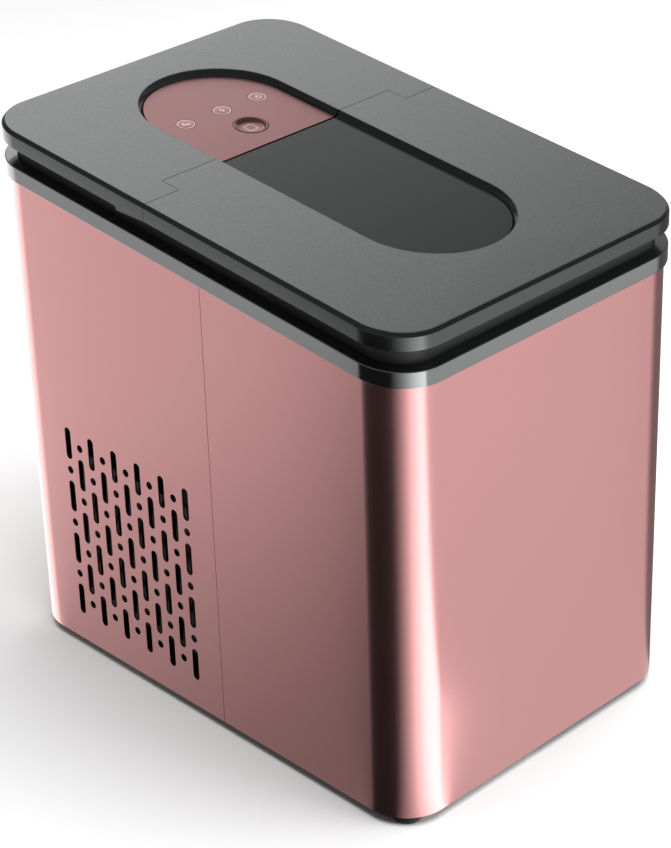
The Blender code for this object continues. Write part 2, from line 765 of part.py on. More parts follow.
def make_tray():
    """A half-round trough about its own axis, with stub shafts on its end plates."""
    axis = (TRAY_Y, TRAY_Z)
    tray = rod("water_tray", (-TRAY_HALF, *axis), (TRAY_HALF, *axis), TRAY_RADIUS, "clear_plastic", 28)
    wall = 0.0025
    end = TRAY_HALF - wall
    cut(tray, rod("tray_hollow", (-end, *axis), (end, *axis), TRAY_RADIUS - wall, segments=28))
    cut(tray, block("tray_top", (-FAR, -0.1, TRAY_Z), (FAR, 0.1, TRAY_Z + 0.05)))
    join(
        tray,
        rod("tray_stub_right", (TRAY_HALF - 0.001, *axis), (0.0950, *axis), 0.003, segments=12),
        rod("tray_stub_left", (0.001 - TRAY_HALF, *axis), (-0.0905, *axis), 0.003, segments=12),
        rod("tray_hub_right", (TRAY_HALF - 0.001, *axis), (0.0830, *axis), 0.006, segments=12),
        rod("tray_hub_left", (0.001 - TRAY_HALF, *axis), (-0.0830, *axis), 0.006, segments=12),
    )
    front = TRAY_Y - TRAY_RADIUS
    bar_low, bar_high = (-0.075, front - 0.0030, TRAY_Z - 0.0055), (0.075, front - CLEAR, TRAY_Z)
    pusher = block("ice_pusher", bar_low, bar_high, "grey_plastic")
    for number in range(8):
        x = (number - 3.5) * 0.0185
        low, high = (x - 0.002, front - 0.0095, TRAY_Z - 0.004), (x + 0.002, front - 0.002, TRAY_Z - 0.001)
        join(pusher, block(f"pusher_tooth_{number}", low, high))
    bush = rod("tray_bush", (-0.0917, *axis), (-0.0865, *axis), 0.0058, "grey_plastic")
    cut(bush, rod("bush_bore", (-0.1, *axis), (-0.08, *axis), 0.0033, segments=12))
    motor = block("tray_motor", (0.0955, -0.034, 0.2390), (0.1155, 0.008, 0.2860), "grey_plastic", 0.004, 2)
    cut(motor, rod("motor_socket", (0.09, *axis), (0.0985, *axis), 0.0034, segments=12))


def make_chute():
    """A slotted slope that runs down to the basket's rear wall."""
    rear, front = Vector((0, 0.0225, 0.2231)), Vector((0, -0.0600, 0.2015))
    length = (rear - front).length
    chute = block("ice_chute", (-0.084, -length / 2, -0.001), (0.084, length / 2, 0.001), "grey_plastic")
    end = length / 2 - 0.010
    for number in range(9):
        x = (number - 4) * 0.018
        cut(chute, block(f"chute_slot_{number}", (x - 0.004, -end, -0.01), (x + 0.004, end, 0.01)))
    settle(chute)
    angle = math.atan2(rear.z - front.z, rear.y - front.y)
    chute.data.transform(Matrix.Translation((rear + front) / 2) @ Matrix.Rotation(angle, 4, "X"))


def make_sensors():
    """A float on a stem tells when the water is low, and an optical pair tells when the basket is full."""
    x, y = -0.055, -0.035
    stem, top, flange, seat_low = 0.002, 0.104, 0.008, 0.0623
    seat_top = seat_low + 0.0022
    profile = [(0, top), (stem, top), (stem, seat_top), (flange, seat_top), (flange, seat_low), (0, seat_low)]
    turned("level_sensor_stem", (x, y, 0), profile, "grey_plastic", steps=12)
    ring = upright("water_float", x, y, 0.070, 0.082, 0.009, "grey_plastic")
    cut(ring, upright("float_bore", x, y, 0.06, 0.09, stem + 0.0004, segments=12))
    for name, side in (("left", -1), ("right", 1)):
        inner, outer = side * 0.0888, side * 0.0917
        block(
            f"ice_sensor_{name}",
            (min(inner, outer), -0.100, 0.205),
            (max(inner, outer), -0.084, 0.219),
            "black_plastic",
        )


# ---------------------------------------------------------------- water circuit


def make_water_circuit():
    """The pump draws from the tank and lifts water to the tray. A hose leads the rest to the drain."""
    x, y = PUMP_X, PUMP_Y
    pump = upright("water_pump", x, y, 0.0096, 0.060, 0.019, "black_plastic", 20)
    outlet_z = 0.066
    join(
        pump,
        rod("pump_inlet", (x, 0.0125, SUCTION_Z), (x, y, SUCTION_Z), 0.004, segments=10),
        upright("pump_head", x, y, 0.055, 0.0785, 0.013),
        rod("pump_outlet", (x, y + 0.005, outlet_z), (x, 0.052, outlet_z), 0.004, segments=10),
    )
    pipe("pump_suction_hose", [(x, -0.0070, SUCTION_Z), (x, 0.0122, SUCTION_Z)], HOSE_RADIUS, "silicone")
    riser_y = 0.0530
    fill = [
        (x, 0.0523, outlet_z),
        (x, 0.0600, outlet_z),
        (x, riser_y, 0.110),
        (x, riser_y, FILL_Z),
        (x, -0.004, FILL_Z),
    ]
    pipe("tray_fill_hose", fill, HOSE_RADIUS, "silicone", bend=0.009)
    drain = [
        (SUMP_X, SUMP_Y, 0.0640),
        (SUMP_X, SUMP_Y, 0.026),
        (SUMP_X, 0.03, 0.026),
        (DRAIN_X, 0.08, DRAIN_Z),
        (DRAIN_X, 0.1655, DRAIN_Z),
    ]
    pipe("drain_hose", drain, HOSE_RADIUS, "silicone", bend=0.018)
    make_drain()


def drain_rod(name, y_from, y_to, radius, finish=None, segments=20):
    return rod(name, (DRAIN_X, y_from, DRAIN_Z), (DRAIN_X, y_to, DRAIN_Z), radius, finish, segments)


def make_drain():
    """A cup in the back with a bore to the hose, and the plug that stops it, with a grip to pull."""
    outlet = drain_rod("drain_outlet", 0.1658, 0.1763, 0.0104, "black_plastic")
    cup, bore = drain_rod("outlet_cup", 0.1690, 0.20, 0.0086), drain_rod("outlet_bore", 0.15, 0.20, 0.0030)
    cut(outlet, cup, bore)
    plug = drain_rod("drain_plug", 0.1665, 0.1700, 0.0026, "silicone", 12)
    grip_low = (DRAIN_X - 0.0065, 0.1725, DRAIN_Z - 0.0015)
    grip_high = (DRAIN_X + 0.0065, 0.1780, DRAIN_Z + 0.0015)
    join(plug, drain_rod("plug_cap", 0.1694, 0.1735, 0.0080), block("plug_grip", grip_low, grip_high))


# ---------------------------------------------------------------- cooling unit


def make_compressor():
    x, y = COMPRESSOR_X, COMPRESSOR_Y
    r = COMPRESSOR_RADIUS
    can = turned(
        "compressor",
        (x, y, 0),
        [
            (0, 0.1640),
            (0.45 * r, 0.1620),
            (0.75 * r, 0.1550),
            (0.92 * r, 0.1430),
            (0.94 * r, 0.1300),
            (0.94 * r, 0.0960),
            (r, 0.0955),
            (r, 0.0900),
            (0.94 * r, 0.0895),
            (0.94 * r, 0.0500),
            (0.85 * r, 0.0350),
            (0.60 * r, 0.0260),
            (0, 0.0240),
        ],
        "black_enamel",
    )
    settle_at_origin(can)
    mount = block("compressor_mount", (x - r, y - r, 0.0200), (x + r, y + r, 0.0225), "satin_steel", 0.012, 3)
    for i in (-1, 1):
        for j in (-1, 1):
            leg = (x + i * (r - 0.007), y + j * (r - 0.007))
            join(mount, upright(f"mount_leg_{i}_{j}", *leg, 0.0096, 0.0210, 0.006, segments=12))


def make_condenser():
    """A finned block right behind the slots, its gaps open to the outside."""
    low, high = Vector((-0.1165, 0.0130, 0.0420)), Vector((-0.1000, 0.1230, 0.1505))
    condenser = block("condenser", low, high, "aluminium")
    rim = 0.005
    for number in range(14):
        y = 0.0200 + number * 0.0075
        gap_low, gap_high = (-0.13, y - 0.0022, low.z + rim), (-0.108, y + 0.0022, high.z - rim)
        cut(condenser, block(f"fin_gap_{number}", gap_low, gap_high))


def make_fan():
    """Five pitched blades on a hub, in the round opening of a shroud, with the motor behind on two arms."""
    low, high = (-0.0970, 0.0160, 0.0470), (-0.0800, 0.1160, 0.1470)
    shroud = block("fan_shroud", low, high, "black_plastic", 0.004, 2)
    axis = (FAN_Y, FAN_Z)
    cut(shroud, rod("shroud_hole", (-0.12, *axis), (-0.05, *axis), 0.0455, segments=28))
    fan = rod("cooling_fan", (-0.0945, *axis), (-0.0830, *axis), 0.013, "black_plastic", 16)
    blades = 5
    for number in range(blades):
        bm = bmesh.new()
        bmesh.ops.create_cube(bm, size=1.0)
        bmesh.ops.scale(bm, vec=(0.0015, 0.022, 0.034), verts=bm.verts)
        pitch = Matrix.Rotation(math.radians(28), 4, "Z")
        turn = Matrix.Rotation(2 * math.pi * number / blades, 4, "X")
        centre = Matrix.Translation((FAN_X, *axis))
        out = Matrix.Translation((0, 0, 0.0265))
        bmesh.ops.transform(bm, matrix=centre @ turn @ out @ pitch, verts=bm.verts)
        join(fan, from_bmesh(f"blade_{number}", bm, None))
    motor = rod("fan_motor", (-0.0822, *axis), (-0.0550, *axis), 0.0170, "black_enamel", 20)
    reach, half = 0.034, 0.004
    arm_low, arm_high = (-0.0797, FAN_Y - reach, FAN_Z - half), (-0.0757, FAN_Y + reach, FAN_Z + half)
    join(motor, block("motor_arms", arm_low, arm_high))


def make_refrigerant_circuit():
    """Compressor to condenser, drier to evaporator by the thin tube, and evaporator back to compressor."""
    x, y = COMPRESSOR_X, COMPRESSOR_Y
    drier_x, drier_y, drier_low, drier_top = -0.030, 0.150, 0.070, 0.170
    neck, body, taper = 0.0035, 0.0090, 0.012
    profile = [
        (0, drier_top),
        (neck, drier_top),
        (body, drier_top - taper),
        (body, drier_low + taper),
        (neck, drier_low),
        (0, drier_low),
    ]
    turned("filter_drier", (drier_x, drier_y, 0), profile, "copper", steps=16)
    valve = block("hot_gas_valve", (-0.045, 0.095, 0.200), (-0.017, 0.119, 0.228), "black_plastic", 0.003, 2)
    join(valve, upright("valve_stem", -0.031, 0.107, 0.188, 0.205, 0.007, segments=12))
    can_top = 0.1650
    discharge = [
        (x - 0.020, y, can_top),
        (x - 0.020, y, 0.182),
        (-0.031, 0.107, 0.182),
        (-0.108, 0.107, 0.182),
        (-0.108, 0.107, 0.1510),
    ]
    pipe("discharge_tube", discharge, PIPE_RADIUS, "copper")
    suction = [
        (LEG_X, 0.0603, TUBE_Z),
        (LEG_X, 0.085, TUBE_Z),
        (x + 0.015, y + 0.010, 0.230),
        (x + 0.015, y + 0.010, can_top),
    ]
    pipe("suction_tube", suction, PIPE_RADIUS, "copper")
    capillary = [
        (drier_x, drier_y, drier_top + 0.0004),
        (drier_x, drier_y, 0.245),
        (-0.060, 0.110, 0.262),
        (-LEG_X, 0.090, TUBE_Z),
        (-LEG_X, 0.0604, TUBE_Z),
    ]
    pipe("capillary_tube", capillary, 0.0016, "copper", resolution=1)


# ---------------------------------------------------------------- electrical parts and fasteners


def make_electrics():
    """The power board stands against the back, and the inlet is a socket with three pins."""
    board = block("power_board", (-0.060, 0.1700, 0.200), (0.050, 0.1716, 0.280), "circuit_board")
    join(
        board,
        block("board_transformer", (-0.045, 0.1535, 0.215), (-0.015, 0.1706, 0.245)),
        block("board_relay", (0.005, 0.155, 0.215), (0.020, 0.1706, 0.233)),
        rod("board_capacitor", (0.035, 0.152, 0.225), (0.035, 0.1706, 0.225), 0.008, segments=12),
    )
    inlet = block("power_inlet", (0.0568, 0.1550, 0.0348), (0.0832, 0.1764, 0.0552), "black_plastic")
    socket = block("inlet_socket", (0.0588, 0.1590, 0.0370), (0.0812, 0.19, 0.0530))
    cut(inlet, socket)
    for number, x in enumerate((0.063, 0.070, 0.077)):
        z = 0.0465 if number == 1 else 0.0435
        pin_low, pin_high = (x - 0.001, 0.157, z - 0.002), (x + 0.001, 0.172, z + 0.002)
        join(inlet, block(f"inlet_pin_{number}", pin_low, pin_high))


def make_screws():
    """Domed heads on the back of the casing."""
    spots = {
        "low_left": (-0.085, 0.030),
        "low_right": (0.085, 0.090),
        "top_left": (-0.085, 0.290),
        "top_right": (0.085, 0.290),
    }
    near, head = DEPTH / 2 + CLEAR, DEPTH / 2 + 0.0018
    for name, (x, z) in spots.items():
        rod(f"rear_screw_{name}", (x, near, z), (x, head, z), 0.0036, "satin_steel", 12, 0.0026)


def make_ice_maker():
    start_scene()
    make_casing()
    make_base()
    make_band()
    make_top_frame()
    make_rear_cover()
    make_panel()
    make_control_board()
    make_lid()
    make_hinge_pins()
    make_tank()
    make_foam()
    make_basket()
    make_evaporator()
    make_tray()
    make_chute()
    make_sensors()
    make_water_circuit()
    make_compressor()
    make_condenser()
    make_fan()
    make_refrigerant_circuit()
    make_electrics()
    make_screws()
    round_shading()


make_ice_maker()
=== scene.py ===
# %% [markdown]
# # A countertop ice maker
# The machine is a tall sheet-metal casing with a sloping top. The front half of the top is a lid that
# opens over the ice, and the back half is fixed and carries the controls. This file dresses the packed
# model: it makes each visible piece again as a fine surface, in place, and gives it its finish.

# %% Load the frame
import json
import math

import bmesh
import bpy
import numpy as np
from mathutils import Matrix, Vector


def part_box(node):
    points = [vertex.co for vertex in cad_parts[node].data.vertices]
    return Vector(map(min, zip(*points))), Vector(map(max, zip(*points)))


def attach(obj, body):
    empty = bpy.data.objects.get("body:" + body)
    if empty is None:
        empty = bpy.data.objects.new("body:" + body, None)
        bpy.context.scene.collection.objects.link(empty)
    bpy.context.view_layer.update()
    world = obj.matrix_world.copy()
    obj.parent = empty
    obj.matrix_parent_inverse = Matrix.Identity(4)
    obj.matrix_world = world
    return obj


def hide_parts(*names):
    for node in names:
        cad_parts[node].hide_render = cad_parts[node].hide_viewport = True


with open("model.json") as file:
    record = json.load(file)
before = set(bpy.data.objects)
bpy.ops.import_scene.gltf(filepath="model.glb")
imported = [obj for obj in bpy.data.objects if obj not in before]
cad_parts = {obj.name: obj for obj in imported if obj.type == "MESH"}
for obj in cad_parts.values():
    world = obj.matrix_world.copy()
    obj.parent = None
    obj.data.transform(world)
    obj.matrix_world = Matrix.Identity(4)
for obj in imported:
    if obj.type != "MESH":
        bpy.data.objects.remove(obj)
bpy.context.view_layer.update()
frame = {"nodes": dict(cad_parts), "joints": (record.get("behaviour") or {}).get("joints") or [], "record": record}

# %% [markdown]
# ## Driving sizes
# The sizes here are read from the imported solids, except the corner radius, which is given. The casing gives the
# plan and the slope: its rear half ends higher than its front half, and the two tops lie on one plane. A level of
# the sloping top is named by its height at the front edge.

# %% Sizes of the casing and levels of the top
front_low, front_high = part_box("front_casing")
rear_low, rear_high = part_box("rear_casing")
band_low, band_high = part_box("trim_band")
lid_low, lid_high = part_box("lid_cover")

HALF_X = front_high.x
HALF_Y = rear_high.y
SEAM_Y = (front_high.y + rear_low.y) / 2
CORNER = 0.030
SLOPE = (rear_high.z - front_high.z) / (rear_high.y - front_high.y)
OVERHANG = lid_high.x - HALF_X
CASING_LOW = front_low.z
CASING_TOP = rear_high.z - SLOPE * 2 * HALF_Y
BAND_LOW = band_low.z + SLOPE * OVERHANG
BAND_TOP = band_high.z - SLOPE * (2 * HALF_Y + OVERHANG)
PLATE_LOW = lid_low.z + SLOPE * OVERHANG
PLATE_TOP = lid_high.z - SLOPE * (lid_high.y + HALF_Y)
print(f"slope {SLOPE:.4f}, band {BAND_LOW:.4f} to {BAND_TOP:.4f}, plate {PLATE_LOW:.4f} to {PLATE_TOP:.4f}")


def top_z(level, y):
    """Height of a sloping plane at y: its level at the front edge, plus the slope times the way back."""
    return level + SLOPE * (np.asarray(y) + HALF_Y)


# %% [markdown]
# ## The camera
# A long lens from the front left, a little above. The camera looks at a point over the middle of the
# footprint; its axes come from the azimuth and the height of the view, and a small roll.

# %% Camera
VIEW_AZIMUTH = math.radians(-43.49)
VIEW_HEIGHT = math.radians(29.06)
VIEW_ROLL = math.radians(-1.864)
VIEW_DISTANCE = 1.647
LENS = 110.56
aim = Vector((-0.0016, 0.0, 0.1668))

back = Vector(
    (
        math.sin(VIEW_AZIMUTH) * math.cos(VIEW_HEIGHT),
        -math.cos(VIEW_AZIMUTH) * math.cos(VIEW_HEIGHT),
        math.sin(VIEW_HEIGHT),
    )
)
across = Vector((math.cos(VIEW_AZIMUTH), math.sin(VIEW_AZIMUTH), 0.0))
upward = back.cross(across)
cam_x = math.cos(VIEW_ROLL) * across + math.sin(VIEW_ROLL) * upward
cam_y = -math.sin(VIEW_ROLL) * across + math.cos(VIEW_ROLL) * upward
camera = bpy.data.objects.new("camera", bpy.data.cameras.new("camera"))
bpy.context.scene.collection.objects.link(camera)
turn = Matrix((cam_x, cam_y, back)).transposed().to_4x4()
camera.matrix_world = Matrix.Translation(aim + back * VIEW_DISTANCE) @ turn
camera.data.lens = LENS
camera.data.sensor_width = 36.0
camera.data.clip_start = 0.01
bpy.context.scene.camera = camera

# %% [markdown]
# ## Surfaces from arrays
# Each new piece is a grid of points worked out with numpy. Two kinds cover almost all of them: a section
# carried along a path, closed like a ring or ended with caps, and a profile turned about an axis.


# %% From arrays to objects
def make_object(name, points, faces):
    """A mesh object from an (n, 3) array of points and a list of faces."""
    mesh = bpy.data.meshes.new(name)
    mesh.from_pydata(np.asarray(points, float).reshape(-1, 3).tolist(), [], faces)
    mesh.validate()
    piece = bpy.data.objects.new(name, mesh)
    bpy.context.scene.collection.objects.link(piece)
    return piece


def face_out(piece):
    """Turn the faces so that the volume inside them, a sum of tetrahedra from the origin, is positive."""
    bm = bmesh.new()
    bm.from_mesh(piece.data)
    bmesh.ops.recalc_face_normals(bm, faces=bm.faces[:])
    if bm.calc_volume(signed=True) < 0:
        bmesh.ops.reverse_faces(bm, faces=bm.faces[:])
    bm.to_mesh(piece.data)
    bm.free()
    return piece


def swept(name, sections, closed=True):
    """A closed section carried along a path. sections is (stations, section points, 3); faces join each
    point to its neighbour in the section and in the next station. An open path gets a cap at each end."""
    stations, width = sections.shape[:2]
    index = np.arange(stations * width).reshape(stations, width)
    after = np.roll(index, -1, axis=0) if closed else index[1:]
    here = index if closed else index[:-1]
    quads = np.stack([here, np.roll(here, -1, 1), np.roll(after, -1, 1), after], axis=-1)
    faces = quads.reshape(-1, 4).tolist()
    if not closed:
        faces += [index[0][::-1].tolist(), index[-1].tolist()]
    return face_out(make_object(name, sections, faces))


def turned(name, centre, profile, steps=48):
    """A profile of (radius, height) rows turned about an upright axis through centre: x = r cos a and
    y = r sin a. Both ends of the profile lie on the axis, where one point closes the surface."""
    profile = np.asarray(profile, float)
    angle = np.linspace(0, 2 * np.pi, steps, endpoint=False)
    radius, height = profile[1:-1].T
    ring = np.stack(
        [
            radius[:, None] * np.cos(angle),
            radius[:, None] * np.sin(angle),
            np.repeat(height[:, None], steps, 1),
        ],
        axis=-1,
    )
    points = np.concatenate([ring.reshape(-1, 3), [[0, 0, profile[0, 1]], [0, 0, profile[-1, 1]]]])
    rows = len(radius)
    index = np.arange(rows * steps).reshape(rows, steps)
    after = np.roll(index, -1, axis=1)
    quads = np.stack([index[:-1], index[1:], after[1:], after[:-1]], axis=-1).reshape(-1, 4).tolist()
    first, last = rows * steps, rows * steps + 1
    fans = [[first, int(a), int(b)] for a, b in zip(index[0], after[0])]
    fans += [[last, int(b), int(a)] for a, b in zip(index[-1], after[-1])]
    return face_out(make_object(name, points + np.asarray(centre, float), quads + fans))


# %% [markdown]
# The plan of the casing is a rectangle with round corners. Moving that outline in or out by an offset
# keeps the same number of points, so two outlines always join point to point. The round-ended recess in
# the top is the same outline with its corner radius grown to half its width.


# %% Rounded outlines
def outline(half_x, half_y, radius, steps=16, centre_y=0.0):
    """Points of a rounded rectangle, anticlockwise from the right side: each corner is a quarter circle
    of the radius about a centre that lies the radius inside both sides."""
    angle = np.linspace(0, np.pi / 2, steps + 1)
    corners = []
    for quarter, (sign_x, sign_y) in enumerate(((1, 1), (-1, 1), (-1, -1), (1, -1))):
        a = angle + quarter * np.pi / 2
        x = sign_x * (half_x - radius) + radius * np.cos(a)
        y = sign_y * (half_y - radius) + radius * np.sin(a) + centre_y
        corners.append(np.stack([x, y], axis=-1))
    return np.concatenate(corners)


def body_outline(offset, steps=16):
    """The casing's outline moved out by an offset, or in where it is negative."""
    return outline(HALF_X + offset, HALF_Y + offset, CORNER + offset, steps)


def ring_on_top(name, rows):
    """A ring whose section is a list of (outline, level): each outline is laid on its sloping plane."""
    loops = [np.column_stack([plan, top_z(level, plan[:, 1])]) for plan, level in rows]
    return swept(name, np.stack(loops, axis=1))


# %% [markdown]
# Holes are cut with a boolean, because a slot has to be a real hole with a real edge. The result is kept
# as a plain mesh. Smooth shading with face-weighted normals keeps the large faces flat and lets the small
# roundings catch the light.


# %% Cutting and finishing a mesh
def applied(piece):
    """Replace a piece's mesh by what its modifiers make of it."""
    bpy.context.view_layer.update()
    graph = bpy.context.evaluated_depsgraph_get()
    mesh = bpy.data.meshes.new_from_object(piece.evaluated_get(graph))
    piece.modifiers.clear()
    piece.data = mesh
    return piece


def carve(piece, *cutters, operation="DIFFERENCE"):
    """Cut the cutters out of a piece, one after the other, and remove them."""
    for cutter in cutters:
        cutting = piece.modifiers.new("cut", "BOOLEAN")
        cutting.operation = operation
        cutting.object = cutter
        cutting.solver = "EXACT"
        applied(piece)
        bpy.data.objects.remove(cutter)
    return piece


def box_piece(name, low, high):
    """A block between two corners, for cutting."""
    low, high = np.asarray(low, float), np.asarray(high, float)
    corner = np.array([[x, y, z] for x in (0, 1) for y in (0, 1) for z in (0, 1)])
    faces = [[0, 1, 3, 2], [4, 6, 7, 5], [0, 4, 5, 1], [2, 3, 7, 6], [0, 2, 6, 4], [1, 5, 7, 3]]
    return face_out(make_object(name, low + corner * (high - low), faces))


def bar(name, start, end, radius, steps=48):
    """A round bar between two points, for cutting."""
    start, end = Vector(start), Vector(end)
    along = (end - start).normalized()
    side = along.orthogonal().normalized()
    other = along.cross(side)
    angle = np.linspace(0, 2 * np.pi, steps, endpoint=False)
    rim = np.outer(np.cos(angle), side) + np.outer(np.sin(angle), other)
    sections = np.stack([np.array(start) + radius * rim, np.array(end) + radius * rim])
    return swept(name, sections, closed=False)


def soften(piece, width=0.0, segments=2, angle=40):
    """Round the sharp edges by a small bevel, shade smooth, and weigh the normals by face area."""
    if width:
        bevel = piece.modifiers.new("rounded edges", "BEVEL")
        bevel.width = width
        bevel.segments = segments
        bevel.limit_method = "ANGLE"
        bevel.angle_limit = math.radians(angle)
        bevel.use_clamp_overlap = True
        applied(piece)
    piece.data.shade_smooth()
    piece.data.set_sharp_from_angle(angle=math.radians(50))
    weigh = piece.modifiers.new("flat faces", "WEIGHTED_NORMAL")
    weigh.keep_sharp = True
    applied(piece)
    return piece


def paint(piece, finish, wanted):
    """Give a second finish to the faces for which wanted(centres, normals), both (n, 3), is true."""
    mesh = piece.data
    count = len(mesh.polygons)
    centres, normals = np.empty(count * 3), np.empty(count * 3)
    mesh.polygons.foreach_get("center", centres)
    mesh.polygons.foreach_get("normal", normals)
    mesh.materials.append(finish)
    chosen = wanted(centres.reshape(-1, 3), normals.reshape(-1, 3))
    index = np.where(chosen, len(mesh.materials) - 1, 0)
    mesh.polygons.foreach_set("material_index", index.astype(np.int32))
    mesh.update()
    print(f"{piece.name}: {int(chosen.sum())} of {count} faces in {finish.name}")


def joined(name, pieces):
    """Make one object of several, which stay separate shells inside it."""
    bm = bmesh.new()
    for piece in pieces:
        bm.from_mesh(piece.data)
        bpy.data.objects.remove(piece)
    mesh = bpy.data.meshes.new(name)
    bm.to_mesh(mesh)
    bm.free()
    whole = bpy.data.objects.new(name, mesh)
    bpy.context.scene.collection.objects.link(whole)
    return whole


def leaned(piece):
    """Lean a level mesh to the slope of the top: each point rises by the slope times its way back."""
    points = np.empty(len(piece.data.vertices) * 3)
    piece.data.vertices.foreach_get("co", points)
    points = points.reshape(-1, 3)
    points[:, 2] = top_z(points[:, 2], points[:, 1])
    piece.data.vertices.foreach_set("co", points.ravel())
    piece.data.update()
    return piece


def finish_piece(piece, body, finish, slot, *nodes):
    """Give a piece its finish and its place in the machine, and hide the solids that it stands for."""
    piece.data.materials.clear()
    piece.data.materials.append(finish)
    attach(piece, body)
    if nodes:
        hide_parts(*nodes)
    print(f"{piece.name}: {len(piece.data.polygons)} faces")
    return piece


# %% [markdown]
# ## Finishes
# A finish is a principled shader whose roughness, bump and colour vary a little, as the real one does.
# The patterns read object coordinates, which are metres here, so a scale of 1000 gives millimetres.


# %% Building blocks for the finishes
def new_finish(name, colour, metallic=0.0, roughness=0.5, **sockets):
    """A principled material; each extra socket is named in lower case with underscores."""
    finish = bpy.data.materials.new(name)
    finish.use_nodes = True
    shader = finish.node_tree.nodes["Principled BSDF"]
    shader.inputs["Base Color"].default_value = (*colour, 1.0)
    shader.inputs["Metallic"].default_value = metallic
    shader.inputs["Roughness"].default_value = roughness
    for socket, value in sockets.items():
        shader.inputs[socket.replace("_", " ").title().replace("Ior", "IOR")].default_value = value
    return finish


def wires(finish):
    """The nodes and the links of a material."""
    return finish.node_tree.nodes, finish.node_tree.links


def add_noise(finish, scale, detail=3.0, stretch=(1, 1, 1)):
    """A noise pattern in object space, squeezed or stretched along the axes."""
    nodes, links = wires(finish)
    where = nodes.new("ShaderNodeTexCoord")
    mapping = nodes.new("ShaderNodeMapping")
    mapping.inputs["Scale"].default_value = stretch
    noise = nodes.new("ShaderNodeTexNoise")
    noise.inputs["Scale"].default_value = scale
    noise.inputs["Detail"].default_value = detail
    links.new(where.outputs["Object"], mapping.inputs["Vector"])
    links.new(mapping.outputs["Vector"], noise.inputs["Vector"])
    return noise.outputs["Fac"]


def vary(finish, pattern, socket, low, high):
    """Drive a number on the shader by a pattern, between two values."""
    nodes, links = wires(finish)
    spread = nodes.new("ShaderNodeMapRange")
    spread.inputs["From Min"].default_value = 0.3
    spread.inputs["From Max"].default_value = 0.7
    spread.inputs["To Min"].default_value = low
    spread.inputs["To Max"].default_value = high
    links.new(pattern, spread.inputs["Value"])
    links.new(spread.outputs["Result"], nodes["Principled BSDF"].inputs[socket])


def tint(finish, pattern, first, second):
    """Mix two colours by a pattern."""
    nodes, links = wires(finish)
    ramp = nodes.new("ShaderNodeValToRGB")
    ramp.color_ramp.elements[0].position = 0.35
    ramp.color_ramp.elements[1].position = 0.65
    ramp.color_ramp.elements[0].color = (*first, 1.0)
    ramp.color_ramp.elements[1].color = (*second, 1.0)
    links.new(pattern, ramp.inputs["Fac"])
    links.new(ramp.outputs["Color"], nodes["Principled BSDF"].inputs["Base Color"])


def bump(finish, pattern, strength, depth):
    """Raise the surface by a pattern; depth is the height of the relief in metres."""
    nodes, links = wires(finish)
    relief = nodes.new("ShaderNodeBump")
    relief.inputs["Strength"].default_value = strength
    relief.inputs["Distance"].default_value = depth
    links.new(pattern, relief.inputs["Height"])
    links.new(relief.outputs["Normal"], nodes["Principled BSDF"].inputs["Normal"])


# %% [markdown]
# The casing is steel sheet under a metallic lacquer: a rose-gold metal with fine flakes, satin rather
# than mirror-like, with a trace of clear coat. The top is a darker gunmetal with a visible grain.


# %% Lacquered and metal finishes
def rose_gold_lacquer(name="rose_gold_lacquer", grain=0.05, roughness=0.26, depth=1.0):
    """depth darkens the colour: 1 on the casing, less on the coarser coat of the control panel and button, where
    the darker colour is painted shade.
    """
    finish = new_finish(name, (0.74, 0.365, 0.36), 1.0, roughness, coat_weight=0.12, coat_roughness=0.1)
    flakes = add_noise(finish, 2600, 1.0)
    low, high = depth * np.array((0.725, 0.355, 0.35)), depth * np.array((0.755, 0.38, 0.375))
    tint(finish, flakes, low, high)
    vary(finish, add_noise(finish, 35, 4.0), "Roughness", roughness - 0.004, roughness + 0.006)
    bump(finish, flakes, grain, 0.00002)
    return finish


def satin_gunmetal():
    finish = new_finish("satin_gunmetal", (0.24, 0.245, 0.245), 0.88, 0.33)
    grain = add_noise(finish, 1400, 2.0)
    tint(finish, grain, (0.205, 0.211, 0.210), (0.275, 0.281, 0.280))
    vary(finish, add_noise(finish, 900, 2.0), "Roughness", 0.30, 0.36)
    bump(finish, grain, 0.12, 0.00004)
    return finish


# Sides and chamfer of the top plate: fully metallic and smoother, and about half as dark as the top, which is
# painted shade on faces turned away from the light.
def gunmetal_rim_painted_shade():
    finish = new_finish("gunmetal_rim_painted_shade", (0.118, 0.124, 0.124), 1.0, 0.27)
    vary(finish, add_noise(finish, 60, 3.0), "Roughness", 0.26, 0.29)
    return finish


def satin_steel():
    finish = new_finish("satin_steel", (0.27, 0.275, 0.275), 1.0, 0.13)
    lines = add_noise(finish, 220, 3.0, (1, 1, 14))
    vary(finish, lines, "Roughness", 0.11, 0.16)
    bump(finish, lines, 0.03, 0.00001)
    return finish


rose_gold = rose_gold_lacquer()
# A darker copy of the casing's lacquer for the panel and button: depth 0.55 paints shade into their colour.
panel_gold_painted_shade = rose_gold_lacquer("panel_gold_painted_shade", 0.25, 0.33, 0.55)
gunmetal = satin_gunmetal()
gunmetal_edge_painted_shade = gunmetal_rim_painted_shade()
steel = satin_steel()

# %% [markdown]
# Plastics are dielectric: a dark or light body colour with a soft highlight, and the fine spark-eroded
# texture that moulds leave. The window is smoked acrylic: glossy, and dark enough to hide most of the bin.


# %% Plastics, rubber and glass
def moulded(name, colour, roughness, scale=1800, relief=0.00003, **sockets):
    finish = new_finish(name, colour, 0.0, roughness, **sockets)
    texture = add_noise(finish, scale, 2.0)
    vary(finish, add_noise(finish, 120, 3.0), "Roughness", roughness - 0.05, roughness + 0.05)
    bump(finish, texture, 0.15, relief)
    return finish


